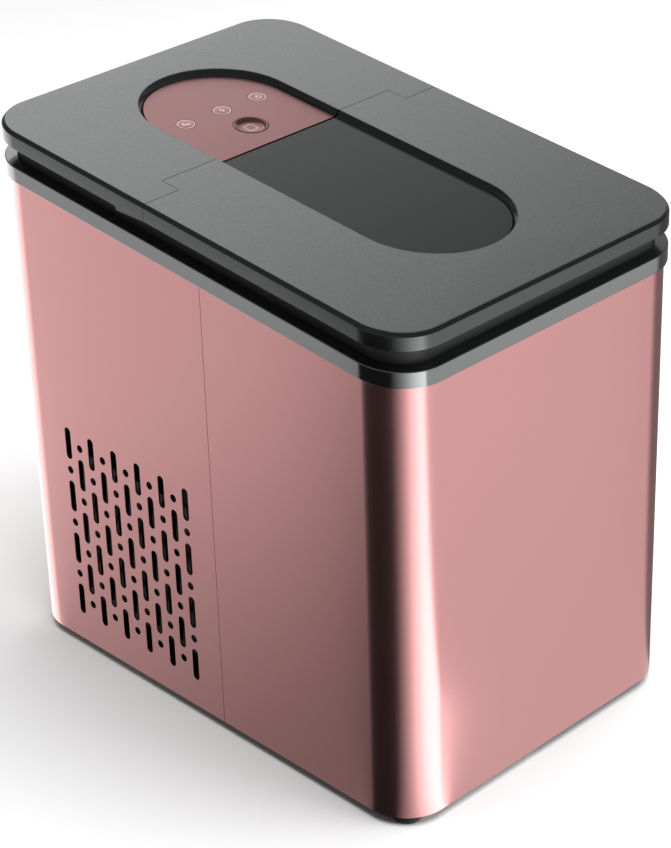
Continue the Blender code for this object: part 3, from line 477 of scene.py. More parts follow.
black_plastic = moulded("black_plastic", (0.022, 0.023, 0.023), 0.5)
gloss_black = moulded("gloss_black", (0.008, 0.009, 0.009), 0.16, 300, 0.000005)
tank_plastic = moulded("tank_plastic", (0.55, 0.57, 0.58), 0.38)
rubber = moulded("rubber", (0.016, 0.016, 0.017), 0.62, 900, 0.00006)
silicone = moulded("silicone", (0.72, 0.71, 0.67), 0.48, 400, 0.00003, subsurface_weight=0.2)
clear_plastic = moulded(
    "clear_plastic", (0.80, 0.86, 0.88), 0.20, 500, 0.00001, transmission_weight=0.65, ior=1.45
)


def smoked_acrylic():
    """A low specular level keeps the pane dark under the card that lights the top."""
    finish = new_finish("smoked_acrylic", (0.022, 0.025, 0.024), 0.0, 0.05, ior=1.49, transmission_weight=0.4)
    finish.node_tree.nodes["Principled BSDF"].inputs["Specular IOR Level"].default_value = 0.15
    vary(finish, add_noise(finish, 25, 2.0), "Roughness", 0.04, 0.06)
    return finish


smoked = smoked_acrylic()

# %% [markdown]
# Inside there are copper pipes, a nickel-plated evaporator, black-coated fins, enamelled motors, dark
# foam beads and green boards. Copper darkens with handling, so its colour drifts slowly along a pipe.


# %% Finishes of the works inside
def copper_tube():
    finish = new_finish("copper_tube", (0.80, 0.42, 0.27), 1.0, 0.28)
    tint(finish, add_noise(finish, 45, 4.0), (0.55, 0.25, 0.15), (0.86, 0.48, 0.32))
    vary(finish, add_noise(finish, 200, 3.0), "Roughness", 0.2, 0.4)
    return finish


def nickel_plate():
    finish = new_finish("nickel_plate", (0.66, 0.63, 0.58), 1.0, 0.16)
    vary(finish, add_noise(finish, 150, 3.0), "Roughness", 0.12, 0.22)
    return finish


def foam_beads():
    finish = new_finish("foam_beads", (0.045, 0.046, 0.050), 0.0, 0.85)
    nodes, links = wires(finish)
    where = nodes.new("ShaderNodeTexCoord")
    beads = nodes.new("ShaderNodeTexVoronoi")
    beads.inputs["Scale"].default_value = 330
    links.new(where.outputs["Object"], beads.inputs["Vector"])
    bump(finish, beads.outputs["Distance"], 0.5, 0.0008)
    return finish


def solder_mask():
    finish = new_finish("solder_mask", (0.012, 0.12, 0.045), 0.0, 0.3, coat_weight=0.5)
    tint(finish, add_noise(finish, 260, 1.0, (1, 6, 1)), (0.010, 0.10, 0.035), (0.016, 0.15, 0.06))
    return finish


copper = copper_tube()
nickel = nickel_plate()
foam = foam_beads()
board_green = solder_mask()
enamel = moulded("black_enamel", (0.012, 0.012, 0.013), 0.22, 200, 0.00005, coat_weight=0.6)
coated_fins = moulded("coated_fins", (0.010, 0.010, 0.011), 0.45, 700, 0.00003)

# %% [markdown]
# ## The casing
# Two sheets are wrapped round the machine and meet in an upright seam on each side. Each is a thin
# section, carried round the plan: bottom edge, outer face, top edge on the slope, inner face. The slots
# are cut afterwards.

# %% The wrapped sheets
SHEET = 0.0012
SEAM_GAP = 0.00035
EDGE = 0.0004


def wrap_path(rear, steps=28):
    """The half of the casing's outline on one side of the seam, and its outward normals. The corners'
    quarter circles are joined by straight runs, and the ends lie at the seam."""
    side = 1 if rear else -1
    end_y = SEAM_Y + side * SEAM_GAP / 2
    angle = np.linspace(0, np.pi / 2, steps + 1)
    right = np.column_stack([np.cos(angle), side * np.sin(angle)])
    left = np.column_stack([-np.sin(angle), side * np.cos(angle)])
    centre = np.array([HALF_X - CORNER, side * (HALF_Y - CORNER)])
    first = np.array([[HALF_X, end_y]])
    last = np.array([[-HALF_X, end_y]])
    points = np.concatenate([first, centre + CORNER * right, centre * [-1, 1] + CORNER * left, last])
    normals = np.concatenate([[[1, 0]], right, left, [[-1, 0]]])
    return points, normals


def casing_sheet(name, rear):
    """The section is a thin rectangle with eased edges, as (depth into the sheet, height)."""
    points, normals = wrap_path(rear)
    top = CASING_TOP + SLOPE * (points[:, 1] + HALF_Y)
    rows = [(EDGE, 0, 0), (0, 0, EDGE), (0, 1, -EDGE), (EDGE, 1, 0), (SHEET, 1, 0), (SHEET, 0, 0)]
    section = []
    for depth, at_top, up in rows:
        plan = points - normals * depth
        height = np.where(at_top, top, CASING_LOW) + up
        section.append(np.column_stack([plan, height]))
    return swept(name, np.stack(section, axis=1), closed=False)


front_sheet = casing_sheet("front_wrap", rear=False)
rear_sheet = casing_sheet("rear_wrap", rear=True)

# %% [markdown]
# The ventilation field is a lattice, eleven columns by seven rows, in which slots and dots take turns
# like the squares of a chessboard. A slot is longer than the pitch of the rows, so the columns lock into
# each other. Each hole is one prism that goes through both sides of the machine.

# %% Ventilation slots
VENT_COLUMNS, VENT_ROWS = 11, 7
VENT_REAR_Y, VENT_TOP_Z = 0.1216, 0.1558
VENT_PITCH_Y, VENT_PITCH_Z = 0.01123, 0.01956
SLOT_WIDTH, SLOT_LENGTH, DOT_WIDTH = 0.0056, 0.0228, 0.0054


def hole_outline(width, length, steps=12):
    """A round-ended slot: two half circles, pushed apart by the length that is left over."""
    angle = np.linspace(0, np.pi, steps + 1)
    arc = width / 2 * np.column_stack([np.cos(angle), np.sin(angle)])
    apart = np.array([0, (length - width) / 2])
    return np.concatenate([arc + apart, -arc - apart])


def vent_prisms(name, start, width, length):
    """All the prisms of one kind of hole as one mesh, to cut in one go."""
    plan = hole_outline(width, length)
    if width == length:
        plan = np.delete(plan, [0, len(plan) // 2], axis=0)
    count = len(plan)
    columns, rows = np.meshgrid(np.arange(VENT_COLUMNS), np.arange(VENT_ROWS), indexing="ij")
    wanted = (columns + rows) % 2 == start
    centres = np.column_stack(
        [VENT_REAR_Y - columns[wanted] * VENT_PITCH_Y, VENT_TOP_Z - rows[wanted] * VENT_PITCH_Z]
    )
    flat = centres[:, None, :] + plan[None]
    ends = [np.concatenate([np.full((*flat.shape[:2], 1), x), flat], axis=-1) for x in (-0.13, 0.13)]
    points = np.stack(ends, axis=1)
    faces = []
    for number in range(len(centres)):
        low = number * 2 * count
        near = np.arange(count) + low
        far = near + count
        faces += np.stack([near, np.roll(near, -1), np.roll(far, -1), far], axis=-1).tolist()
        faces += [near[::-1].tolist(), far.tolist()]
    return face_out(make_object(name, points, faces))


carve(
    rear_sheet,
    vent_prisms("slots", 0, SLOT_WIDTH, SLOT_LENGTH),
    vent_prisms("dots", 1, DOT_WIDTH, DOT_WIDTH),
)
inlet_low, inlet_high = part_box("power_inlet")
drain_low, drain_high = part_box("drain_outlet")
drain_centre = (drain_low + drain_high) / 2
OPENING_GAP = 0.0003
carve(
    rear_sheet,
    box_piece(
        "inlet_opening",
        (inlet_low.x - OPENING_GAP, HALF_Y - 0.01, inlet_low.z - OPENING_GAP),
        (inlet_high.x + OPENING_GAP, HALF_Y + 0.01, inlet_high.z + OPENING_GAP),
    ),
    bar(
        "drain_opening",
        (drain_centre.x, HALF_Y - 0.01, drain_centre.z),
        (drain_centre.x, HALF_Y + 0.01, drain_centre.z),
        (drain_high.x - drain_low.x) / 2 + OPENING_GAP,
    ),
)
soften(rear_sheet, 0.00025, 2)
soften(front_sheet)
finish_piece(front_sheet, "housing", rose_gold, "rose_gold_paint", "front_casing")
finish_piece(rear_sheet, "housing", rose_gold, "rose_gold_paint", "rear_casing")

# %% [markdown]
# ## The band
# A satin steel ring caps the casing. It stands a little proud, and its flat top runs inwards under the
# plate as a ledge, so it mirrors the dark underside of the plate. Its edges are rounded just enough to
# draw a bright line.

# %% Trim band
LEDGE = 0.0057
BAND_EDGE = 0.0007


def rounded_corner(offset, level, turn_from, steps=4):
    """Offsets and levels round an outer edge: a quarter circle of the edge radius."""
    angle = np.linspace(0, np.pi / 2, steps + 1) + turn_from
    return [(offset + BAND_EDGE * math.cos(a), level + BAND_EDGE * math.sin(a)) for a in angle]


band_rows = rounded_corner(OVERHANG - BAND_EDGE, BAND_LOW + BAND_EDGE, -math.pi / 2)
band_rows += rounded_corner(OVERHANG - BAND_EDGE, BAND_TOP - BAND_EDGE, 0)
band_rows += [(-LEDGE, BAND_TOP), (-LEDGE, BAND_LOW)]
band = ring_on_top("steel_band", [(body_outline(offset, 24), level) for offset, level in band_rows])
soften(band)
finish_piece(band, "housing", steel, "satin_steel", "trim_band")

# %% [markdown]
# ## The deck
# Inside the band a black moulding rises to the deck, on which the lid closes. Its mouth is a rounded
# opening over the bin, with a lip that hangs down inside it. A shallow groove under the hinge
# leaves room for the lid's tongue.

# %% Deck, neck and mouth
NECK = 0.006
DECK_TOP = PLATE_LOW - 0.0008
DECK_UNDER = DECK_TOP - 0.004
LIP_LOW = DECK_UNDER - 0.006
MOUTH_X, MOUTH_FRONT, MOUTH_REAR, MOUTH_CORNER = 0.0895, -0.1555, 0.0100, 0.011
DECK_WALL, DECK_EDGE, ABOVE_BAND = 0.003, 0.0008, 0.0008
mouth_y = (MOUTH_FRONT + MOUTH_REAR) / 2
mouth_half = (MOUTH_REAR - MOUTH_FRONT) / 2


def mouth_outline(grow, steps=16):
    return outline(MOUTH_X + grow, mouth_half + grow, MOUTH_CORNER + grow, steps, mouth_y)


deck_rows = [
    (body_outline(-NECK), BAND_LOW + ABOVE_BAND),
    (body_outline(-NECK), DECK_TOP - DECK_EDGE),
    (body_outline(-NECK - DECK_EDGE), DECK_TOP),
    (mouth_outline(0.0012), DECK_TOP),
    (mouth_outline(0.0003), DECK_TOP - 0.0004),
    (mouth_outline(0.0), DECK_TOP - 0.0014),
    (mouth_outline(0.0), LIP_LOW + 0.0005),
    (mouth_outline(0.0010), LIP_LOW),
    (mouth_outline(0.0020), LIP_LOW + 0.0005),
    (mouth_outline(0.0020), DECK_UNDER),
    (body_outline(-NECK - DECK_WALL), DECK_UNDER),
    (body_outline(-NECK - DECK_WALL), BAND_LOW + ABOVE_BAND),
]
deck = ring_on_top("deck", deck_rows)
HINGE = Vector(next(j for j in frame["joints"] if j["name"] == "lid_hinge")["pos_m"])
TONGUE_HALF, GROOVE_HALF = 0.0948, 0.0955
TONGUE_SWEEP = 0.00925
carve(deck, bar("groove", (-GROOVE_HALF, HINGE.y, HINGE.z), (GROOVE_HALF, HINGE.y, HINGE.z), TONGUE_SWEEP))
soften(deck)
finish_piece(deck, "housing", black_plastic, "black_plastic", "top_frame")

# %% [markdown]
# ## The two halves of the top
# Lid and rear cover are cut from one plate so that their faces and edges run through. The plate is a
# ring: from the underside up the side, over a flat chamfer and across the top to the round-ended recess
# in the middle, then down the recess's slanting wall.

# %% The whole plate
CHAMFER_WIDE, CHAMFER_HIGH = 0.0021, 0.0021
RECESS_HALF, RECESS_FRONT, RECESS_REAR = 0.05125, -0.1347, 0.1470
RECESS_DEPTH, RECESS_DRAFT = 0.0038, 0.00275
SKIN = 0.003
recess_y = (RECESS_FRONT + RECESS_REAR) / 2


def recess_outline(grow, steps=24):
    half = RECESS_HALF + grow
    return outline(half, (RECESS_REAR - RECESS_FRONT) / 2 + grow, half - 0.00001, steps, recess_y)


def whole_plate(name, collar_low):
    edge = 0.00025
    rows = [
        (body_outline(OVERHANG - 0.0008 - SKIN, 24), PLATE_LOW),
        (body_outline(OVERHANG - 0.0005, 24), PLATE_LOW),
        (body_outline(OVERHANG, 24), PLATE_LOW + 0.0005),
        (body_outline(OVERHANG, 24), PLATE_TOP - CHAMFER_HIGH - edge),
        (body_outline(OVERHANG - edge, 24), PLATE_TOP - CHAMFER_HIGH + edge),
        (body_outline(OVERHANG - CHAMFER_WIDE + edge, 24), PLATE_TOP - edge),
        (body_outline(OVERHANG - CHAMFER_WIDE - edge, 24), PLATE_TOP),
        (recess_outline(edge), PLATE_TOP),
        (recess_outline(-edge), PLATE_TOP - edge),
        (recess_outline(-RECESS_DRAFT), PLATE_TOP - RECESS_DEPTH),
        (recess_outline(-RECESS_DRAFT), collar_low),
        (recess_outline(0.002), collar_low),
        (recess_outline(0.002), PLATE_TOP - SKIN),
        (body_outline(OVERHANG - 0.0008 - SKIN, 24), PLATE_TOP - SKIN),
    ]
    return ring_on_top(name, rows)


# %% [markdown]
# The seam steps back in the middle: the lid has a tongue that reaches between two ears of the rear cover,
# and the hinge pins run from the ears into the tongue. Each half is undercut round the hinge axis by a
# cylinder, so that the gap stays a thin line while the lid can still turn. Blocks fill the tongue and
# the ears round the pins, and stop outside the recess.

# %% Cut the plate into lid and rear cover
HINGE_DEPTH = 0.0035
TONGUE_FRONT = 0.0225
PIN_BORE = 0.0017
TONGUE_REAR = lid_high.y
EAR_SWEEP = 0.00775
SIDE_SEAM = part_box("rear_cover")[0].y
EAR_SIDE = HALF_X - 0.0005
GAP = 0.0003
FAR = 0.3

lid = whole_plate("lid_plate", PLATE_TOP - 0.0080)
carve(
    lid,
    box_piece("behind_tongue", (-FAR, TONGUE_REAR, 0.2), (FAR, FAR, 0.5)),
    box_piece("tongue_under", (-TONGUE_HALF, TONGUE_FRONT, 0.2), (TONGUE_HALF, FAR, HINGE.z - HINGE_DEPTH)),
)
WINDOW_WAY = RECESS_HALF + 0.0005
tongue_fill = box_piece(
    "tongue_fill",
    (-TONGUE_HALF + GAP, 0.0200, HINGE.z - HINGE_DEPTH),
    (TONGUE_HALF - GAP, TONGUE_REAR - 0.0001, HINGE.z - 0.0001),
)
carve(tongue_fill, box_piece("window_way", (-WINDOW_WAY, 0, 0.2), (WINDOW_WAY, FAR, 0.5)))
carve(lid, tongue_fill, operation="UNION")
for side in (-1, 1):
    near = side * (TONGUE_HALF - GAP)
    far = side * FAR
    wall = side * EAR_SIDE
    carve(
        lid,
        box_piece("side", (min(near, far), SIDE_SEAM - GAP, 0.2), (max(near, far), FAR, 0.5)),
        bar("ear_way", (near, HINGE.y, HINGE.z), (wall, HINGE.y, HINGE.z), EAR_SWEEP),
        bar("pin_bore", (side * 0.0848, HINGE.y, HINGE.z), (side * 0.12, HINGE.y, HINGE.z), PIN_BORE, 24),
    )
soften(lid, 0.0002, 2, 60)


def dress_plate(plate, body, node):
    """The top face keeps the satin grain. Sides, chamfer and recess wall are smoother and darker, the darker
    colour a painted shade; blacken_recess then makes the recess wall black.
    """
    finish_piece(plate, body, gunmetal, "satin_gunmetal", node)
    level = np.array([0, -SLOPE, 1]) / math.hypot(1, SLOPE)
    paint(plate, gunmetal_edge_painted_shade, lambda centres, normals: normals @ level < 0.9)


def blacken_recess(plate):
    """The recess wall faces inwards: its normal points from the wall to the middle of the recess."""
    mesh = plate.data
    mesh.materials.append(gloss_black)
    for face in mesh.polygons:
        x, y, z = face.center
        end_y = min(max(y, RECESS_FRONT + RECESS_HALF), RECESS_REAR - RECESS_HALF)
        away = math.hypot(x, y - end_y)
        inward = face.normal.x * x + face.normal.y * (y - end_y) < 0
        steep = abs(face.normal.z) < 0.9
        if RECESS_HALF - 0.0035 < away < RECESS_HALF - 0.0001 and inward and steep:
            face.material_index = len(mesh.materials) - 1


dress_plate(lid, "lid", "lid_cover")
blacken_recess(lid)

rear_top = whole_plate("rear_plate", PLATE_LOW)
carve(
    rear_top,
    box_piece("before_seam", (-FAR, -FAR, 0.2), (FAR, SIDE_SEAM, 0.5)),
)
ear_fill = box_piece(
    "ear_fill", (-EAR_SIDE, SIDE_SEAM + 0.0001, HINGE.z - 0.0098), (EAR_SIDE, 0.0560, HINGE.z - 0.001)
)
carve(ear_fill, box_piece("panel_way", (-WINDOW_WAY, -FAR, 0.2), (WINDOW_WAY, FAR, 0.5)))
carve(rear_top, ear_fill, operation="UNION")
carve(
    rear_top,
    box_piece("tongue_room", (-TONGUE_HALF, -FAR, 0.2), (TONGUE_HALF, HINGE.y, 0.5)),
    bar("tongue_way", (-TONGUE_HALF, HINGE.y, HINGE.z), (TONGUE_HALF, HINGE.y, HINGE.z), TONGUE_SWEEP, 96),
    bar("pin_way", (-0.1040, HINGE.y, HINGE.z), (0.1040, HINGE.y, HINGE.z), PIN_BORE, 24),
)
soften(rear_top, 0.0002, 2, 60)
dress_plate(rear_top, "housing", "rear_cover")
blacken_recess(rear_top)

# %% [markdown]
# ## Window and control panel
# Both lie on the floor of the recess and meet at the hinge line. They are flat slabs with a round end:
# the outline is a half circle closed by a straight edge, and the slab is that outline at two levels.

# %% Round-ended slabs
RECESS_FLOOR = PLATE_TOP - RECESS_DEPTH
FIT = 0.0003
SLAB_HALF = RECESS_HALF - RECESS_DRAFT - FIT


def round_ended(end_y, straight_y, steps=48):
    """A half circle whose far point lies at end_y, closed by a straight edge at straight_y."""
    side = 1 if end_y > straight_y else -1
    angle = np.linspace(0, np.pi, steps + 1)
    arc = np.column_stack([SLAB_HALF * np.cos(angle), side * SLAB_HALF * np.sin(angle)])
    arc[:, 1] += end_y - side * SLAB_HALF
    return np.concatenate([[[SLAB_HALF, straight_y]], arc, [[-SLAB_HALF, straight_y]]])


def slab(name, plan, top, thick):
    """A plan carried from a lower to an upper level of the sloping top."""
    rows = [np.column_stack([plan, top_z(level, plan[:, 1])]) for level in (top - thick, top)]
    return swept(name, np.stack(rows), closed=False)


WINDOW_REAR = TONGUE_REAR
window = slab("window_pane", round_ended(RECESS_FRONT + RECESS_DRAFT + FIT, WINDOW_REAR), RECESS_FLOOR, 0.003)
soften(window, 0.0003, 2)
finish_piece(window, "lid", smoked, "smoked_glass", "lid_window")

# %% [markdown]
# The panel is lacquered like the casing, with a coarser grain, in a darker copy of the casing's colour that is
# painted shade. One button is let into it, dished so that a finger finds it, and three small lenses show by a lamp
# what the machine is doing.

# %% Control panel, button and lenses
PANEL_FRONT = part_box("control_panel")[0].y
BUTTON_AT = (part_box("power_button")[0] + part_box("power_button")[1]) / 2
BUTTON_RADIUS = 0.0108
LENS_RADIUS = 0.0059
panel = slab("panel_plate", round_ended(RECESS_REAR - RECESS_DRAFT - FIT, PANEL_FRONT), RECESS_FLOOR, 0.002)


def well(x, y, radius):
    """An upright bar through the panel, for cutting."""
    level = float(top_z(RECESS_FLOOR, y))
    return bar("well", (x, y, level - 0.01), (x, y, level + 0.01), radius, 64)


carve(panel, well(BUTTON_AT.x, BUTTON_AT.y, BUTTON_RADIUS + FIT))
lens_centres = {}
for name in ("left", "centre", "right"):
    low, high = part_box(f"indicator_lens_{name}")
    lens_centres[name] = (low + high) / 2
for centre in lens_centres.values():
    carve(panel, well(centre.x, centre.y, LENS_RADIUS + FIT / 2))
soften(panel, 0.0002, 2)
finish_piece(panel, "housing", panel_gold_painted_shade, "rose_gold_paint", "control_panel")

DISH_DEPTH = 0.0017
DISH = [
    (0, -DISH_DEPTH),
    (0.0064, -DISH_DEPTH),
    (0.0076, -0.0015),
    (0.0087, -0.0009),
    (0.0095, -0.0002),
    (0.0099, 0.0001),
    (0.0103, 0.0002),
    (0.0107, 0.0000),
    (0.0108, -0.0004),
    (0.0108, -0.0024),
    (0.0121, -0.0024),
    (0.0121, -0.0032),
    (0.0030, -0.0032),
    (0.0030, -0.0036),
    (0, -0.0036),
]
button = leaned(turned("button_cap", (0, BUTTON_AT.y, RECESS_FLOOR), DISH, 72))
finish_piece(soften(button), "button", panel_gold_painted_shade, "rose_gold_paint", "power_button")


def tinted_lens():
    finish = new_finish("tinted_lens", (0.44, 0.215, 0.21), 1.0, 0.3, coat_weight=0.3)
    vary(finish, add_noise(finish, 400, 2.0), "Roughness", 0.27, 0.33)
    return finish


lens_tint = tinted_lens()
lens_profile = [(0, 0), (LENS_RADIUS - 0.0002, 0), (LENS_RADIUS, -0.0002), (LENS_RADIUS, -0.002), (0, -0.002)]
for name, centre in lens_centres.items():
    lens = leaned(turned(f"lens_{name}", (centre.x, centre.y, RECESS_FLOOR), lens_profile, 48))
    finish_piece(soften(lens), "housing", lens_tint, "clear_plastic", f"indicator_lens_{name}")

# %% [markdown]
# The signs are printed in a pale ink: a ring on each lens, with a drop for water, a bolt for power and a
# bowl for a full basket, and an ice cube on the button. A printed line is a flat strip along a path: each
# point moves half the line's width to both sides of the path.

# %% Printed signs
INK = 0.00006
LINE = 0.00026


def printed_line(path, centre, level, closed=True):
    """A flat strip on the sloping top. At each point the strip's sides lie along the path's normal."""
    path = np.asarray(path, float) / 1000
    if closed:
        along = np.roll(path, -1, 0) - np.roll(path, 1, 0)
    else:
        along = np.gradient(path, axis=0)
    along /= np.linalg.norm(along, axis=1, keepdims=True)
    across = np.column_stack([-along[:, 1], along[:, 0]]) * LINE / 2
    corners = []
    for side, up in ((1, 0), (1, 1), (-1, 1), (-1, 0)):
        plan = path + side * across + np.array([centre.x, centre.y])
        corners.append(np.column_stack([plan, top_z(level + INK * (up - 0.3), plan[:, 1])]))
    return swept("line", np.stack(corners, axis=1), closed=closed)


def round_path(radius, start=0, end=360, steps=48, x=0, y=0):
    """Points of an arc in millimetres, from one angle to another in degrees."""
    whole = end - start == 360
    angle = np.radians(np.linspace(start, end, steps, endpoint=not whole))
    return np.column_stack([x + radius * np.cos(angle), y + radius * np.sin(angle)])


def drop_path(size, x, y, steps=36):
    """A drop: a circle whose upper half is drawn out to a point, by a power of the height."""
    angle = np.linspace(0, 2 * np.pi, steps, endpoint=False)
    narrow = ((1 - np.sin(angle)) / 2) ** 0.6
    return np.column_stack([x + size * np.cos(angle) * narrow, y + size * 1.25 * np.sin(angle)])


RING_MM = 5.4
pale_ink = moulded("pale_ink", (0.86, 0.74, 0.73), 0.5, 900, 0.000005)
bolt = np.array([(0.5, 2.6), (-1.3, -0.2), (0.2, -0.2), (-0.5, -2.6), (1.3, 0.3), (-0.2, 0.3)])
pictures = {
    "left": [(drop_path(1.3, -1.1, 0.4), True), (drop_path(0.9, 1.5, -0.9), True)],
    "centre": [(bolt, True)],
    "right": [(round_path(2.7, 200, 340, 20, 0, 0.6), False), (round_path(0.7, 0, 360, 12, 0, 0.9), True)],
}
for name, centre in lens_centres.items():
    lines = [printed_line(round_path(RING_MM), centre, RECESS_FLOOR)]
    lines += [printed_line(path, centre, RECESS_FLOOR, closed) for path, closed in pictures[name]]
    sign = joined(f"sign_{name}", lines)
    finish_piece(sign, "housing", pale_ink, "clear_plastic")
cube = outline(0.0034, 0.0034, 0.0011, 6) * 1000
cube_sign = joined("sign_cube", [printed_line(cube, BUTTON_AT, RECESS_FLOOR - DISH_DEPTH)])
finish_piece(cube_sign, "button", pale_ink, "clear_plastic")

# %% [markdown]
# ## Feet
# Four turned rubber feet: a flat sole, a small radius at the edge and a groove below the top.

# %% Turned feet
FOOT_RADIUS = 0.0098
foot_profile = [
    (0, 0.006),
    (FOOT_RADIUS - 0.0004, 0.006),
    (FOOT_RADIUS, 0.0055),
    (FOOT_RADIUS, 0.0040),
    (FOOT_RADIUS - 0.0004, 0.0037),
    (FOOT_RADIUS, 0.0034),
    (FOOT_RADIUS, 0.0013),
    (FOOT_RADIUS - 0.0004, 0.0005),
    (FOOT_RADIUS - 0.0012, 0),
    (0, 0),
]
for place in ("front_left", "front_right", "rear_left", "rear_right"):
    low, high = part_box(f"foot_{place}")
    foot = turned(f"rubber_foot_{place}", ((low.x + high.x) / 2, (low.y + high.y) / 2, 0), foot_profile, 48)
    finish_piece(soften(foot), "housing", rubber, "rubber", f"foot_{place}")

# %% [markdown]
# ## Ice basket
# A thin clear box that stands in the bin. Its walls and floor have rows of slots, so that melt water
# runs off the ice. A cup is a run of outlines: up the outside, over the rim and down the inside, with a
# floor at each end.

# %% Basket with slots
basket_low, basket_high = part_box("ice_basket")
BASKET_WALL, BASKET_CORNER, RIM = 0.002, 0.012, 0.0008
basket_half = (basket_high - basket_low) / 2
basket_y = (basket_high.y + basket_low.y) / 2


def basket_outline(inset):
    half_x, half_y = basket_half.x - inset, basket_half.y - inset
    return outline(half_x, half_y, BASKET_CORNER - inset, 10, basket_y)


def cup(name, rows):
    """Level outlines, each (outline, height), joined in their order; the first and last are floors."""
    loops = [np.column_stack([plan, np.full(len(plan), height)]) for plan, height in rows]
    return swept(name, np.stack(loops), closed=False)


def slot_row(name, axis, low, high, middle, pitch, count, width):
    """Boxes side by side along an axis (0 is x, 1 is y), joined so that one cut makes all the slots."""
    slots = []
    for number in range(count):
        at = middle + (number - (count - 1) / 2) * pitch
        near, far = list(low), list(high)
        near[axis], far[axis] = at - width / 2, at + width / 2
        slots.append(box_piece("slot", near, far))
    return joined(name, slots)


basket = cup(
    "slotted_basket",
    [
        (basket_outline(0.0012), basket_low.z),
        (basket_outline(0.0), basket_low.z + 0.0012),
        (basket_outline(0.0), basket_high.z - RIM),
        (basket_outline(RIM / 2), basket_high.z),
        (basket_outline(BASKET_WALL - RIM / 2), basket_high.z),
        (basket_outline(BASKET_WALL), basket_high.z - RIM),
        (basket_outline(BASKET_WALL), basket_low.z + BASKET_WALL + 0.001),
        (basket_outline(BASKET_WALL + 0.001), basket_low.z + BASKET_WALL),
    ],
)
DRAIN_PITCH, DRAIN_WIDTH, DRAIN_HALF = 0.0105, 0.0035, 0.070
SLOT_LOW, SLOT_HIGH = basket_low.z + 0.010, basket_low.z + 0.042
row = (DRAIN_PITCH, 6, DRAIN_WIDTH)
carve(
    basket,
    slot_row("wall_slots", 0, (0, -0.2, SLOT_LOW), (0, 0.0, SLOT_HIGH), 0, DRAIN_PITCH, 15, DRAIN_WIDTH),
    slot_row("end_slots", 1, (-0.2, 0, SLOT_LOW), (0.2, 0, SLOT_HIGH), basket_y, *row),
    slot_row("floor_slots", 1, (-DRAIN_HALF, 0, 0.1), (DRAIN_HALF, 0, basket_low.z + 0.005), basket_y, *row),
)
soften(basket, 0.0002, 1)
finish_piece(basket, "basket", clear_plastic, "clear_plastic", "ice_basket")

# %% [markdown]
# ## Evaporator
# Nickel-plated fingers hang into the water tray, and the ice grows round them. Each finger is a turned
# rod with a round tip.

# %% Plate and nine fingers
block_low, block_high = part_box("evaporator_block")
FINGER_RADIUS, FINGER_PITCH, FINGER_ROW = 0.0045, 0.0155, 0.009
FINGER_TOP, PLATE_UNDER = 0.268, 0.2660
tip_angle = np.linspace(0, np.pi / 2, 7)[:-1]
tip_length = FINGER_RADIUS * 0.9
finger_profile = [(0, FINGER_TOP), (FINGER_RADIUS, FINGER_TOP)]
finger_profile += [
    (FINGER_RADIUS * math.cos(a), block_low.z + tip_length * (1 - math.sin(a))) for a in tip_angle
]
finger_profile += [(0, block_low.z)]
block_y = (block_low.y + block_high.y) / 2
plate = box_piece("plate", (block_low.x, block_low.y, PLATE_UNDER), block_high)
fingers = []
for number in range(9):
    finger_x = (number - 4) * FINGER_PITCH
    finger_y = block_y + (FINGER_ROW if number % 2 else -FINGER_ROW)
    fingers.append(turned("finger", (finger_x, finger_y, 0), finger_profile, 32))
evaporator = joined("evaporator", [soften(plate, 0.0008, 2)] + fingers)
finish_piece(soften(evaporator), "housing", nickel, "nickel", "evaporator_block")

# %% [markdown]
# ## Dressing the solids that stay
# The other inner pieces keep their simpler solids and get their finishes here.

# %% Finishes for the carried-over solids
SLOT_FINISH = {
    "rose_gold_paint": rose_gold,
    "satin_gunmetal": gunmetal,
    "satin_steel": steel,
    "black_plastic": black_plastic,
    "grey_plastic": tank_plastic,
    "smoked_glass": smoked,
    "clear_plastic": clear_plastic,
    "rubber": rubber,
    "foam": foam,
    "copper": copper,
    "nickel": nickel,
    "aluminium": coated_fins,
    "black_enamel": enamel,
    "circuit_board": board_green,
    "silicone": silicone,
}
slot_of = {part["node"]: part["material_slot"] for part in frame["record"]["subparts"]}
for name, node in frame["nodes"].items():
    node.data.materials.clear()
    node.data.materials.append(SLOT_FINISH[slot_of[name]])
print(len(frame["nodes"]), "solids dressed")

# %% [markdown]
# ## Floor and light
# A plain pale floor that curves up into a wall far behind, under a large soft lamp. The casing is satin
# metal, so what it shows is the room: its upright faces look down at the floor, and its corners sweep all
# the way round. As in a product studio, cards shape those reflections: they are seen by shiny surfaces
# only, and not by the camera.

# %% Floor
floor_paint = new_finish("floor_paint", (0.86, 0.86, 0.86), 0.0, 0.9)
tint(floor_paint, add_noise(floor_paint, 3, 2.0), (0.855, 0.855, 0.855), (0.865, 0.865, 0.865))
FLOOR_REACH, WALL_HEIGHT = 5.0, 2.5
turn_angle = np.linspace(0, 2 * np.pi, 96, endpoint=False)
rise = np.linspace(0, np.pi / 2, 13)
bowl_radius = np.concatenate([[0.02], np.full(13, FLOOR_REACH) + WALL_HEIGHT * np.sin(rise)])
bowl_height = np.concatenate([[0.0], WALL_HEIGHT * (1 - np.cos(rise))])
bowl = np.stack(
    [
        np.outer(bowl_radius, np.cos(turn_angle)),
        np.outer(bowl_radius, np.sin(turn_angle)),
        np.repeat(bowl_height[:, None], len(turn_angle), 1),
    ],
    axis=-1,
)
index = np.arange(bowl.shape[0] * bowl.shape[1]).reshape(bowl.shape[:2])
quads = np.stack([index[:-1], np.roll(index[:-1], -1, 1), np.roll(index[1:], -1, 1), index[1:]], axis=-1)
floor = make_object("floor", bowl, quads.reshape(-1, 4).tolist() + [index[0].tolist()])
floor.data.materials.append(floor_paint)
floor.data.shade_smooth()


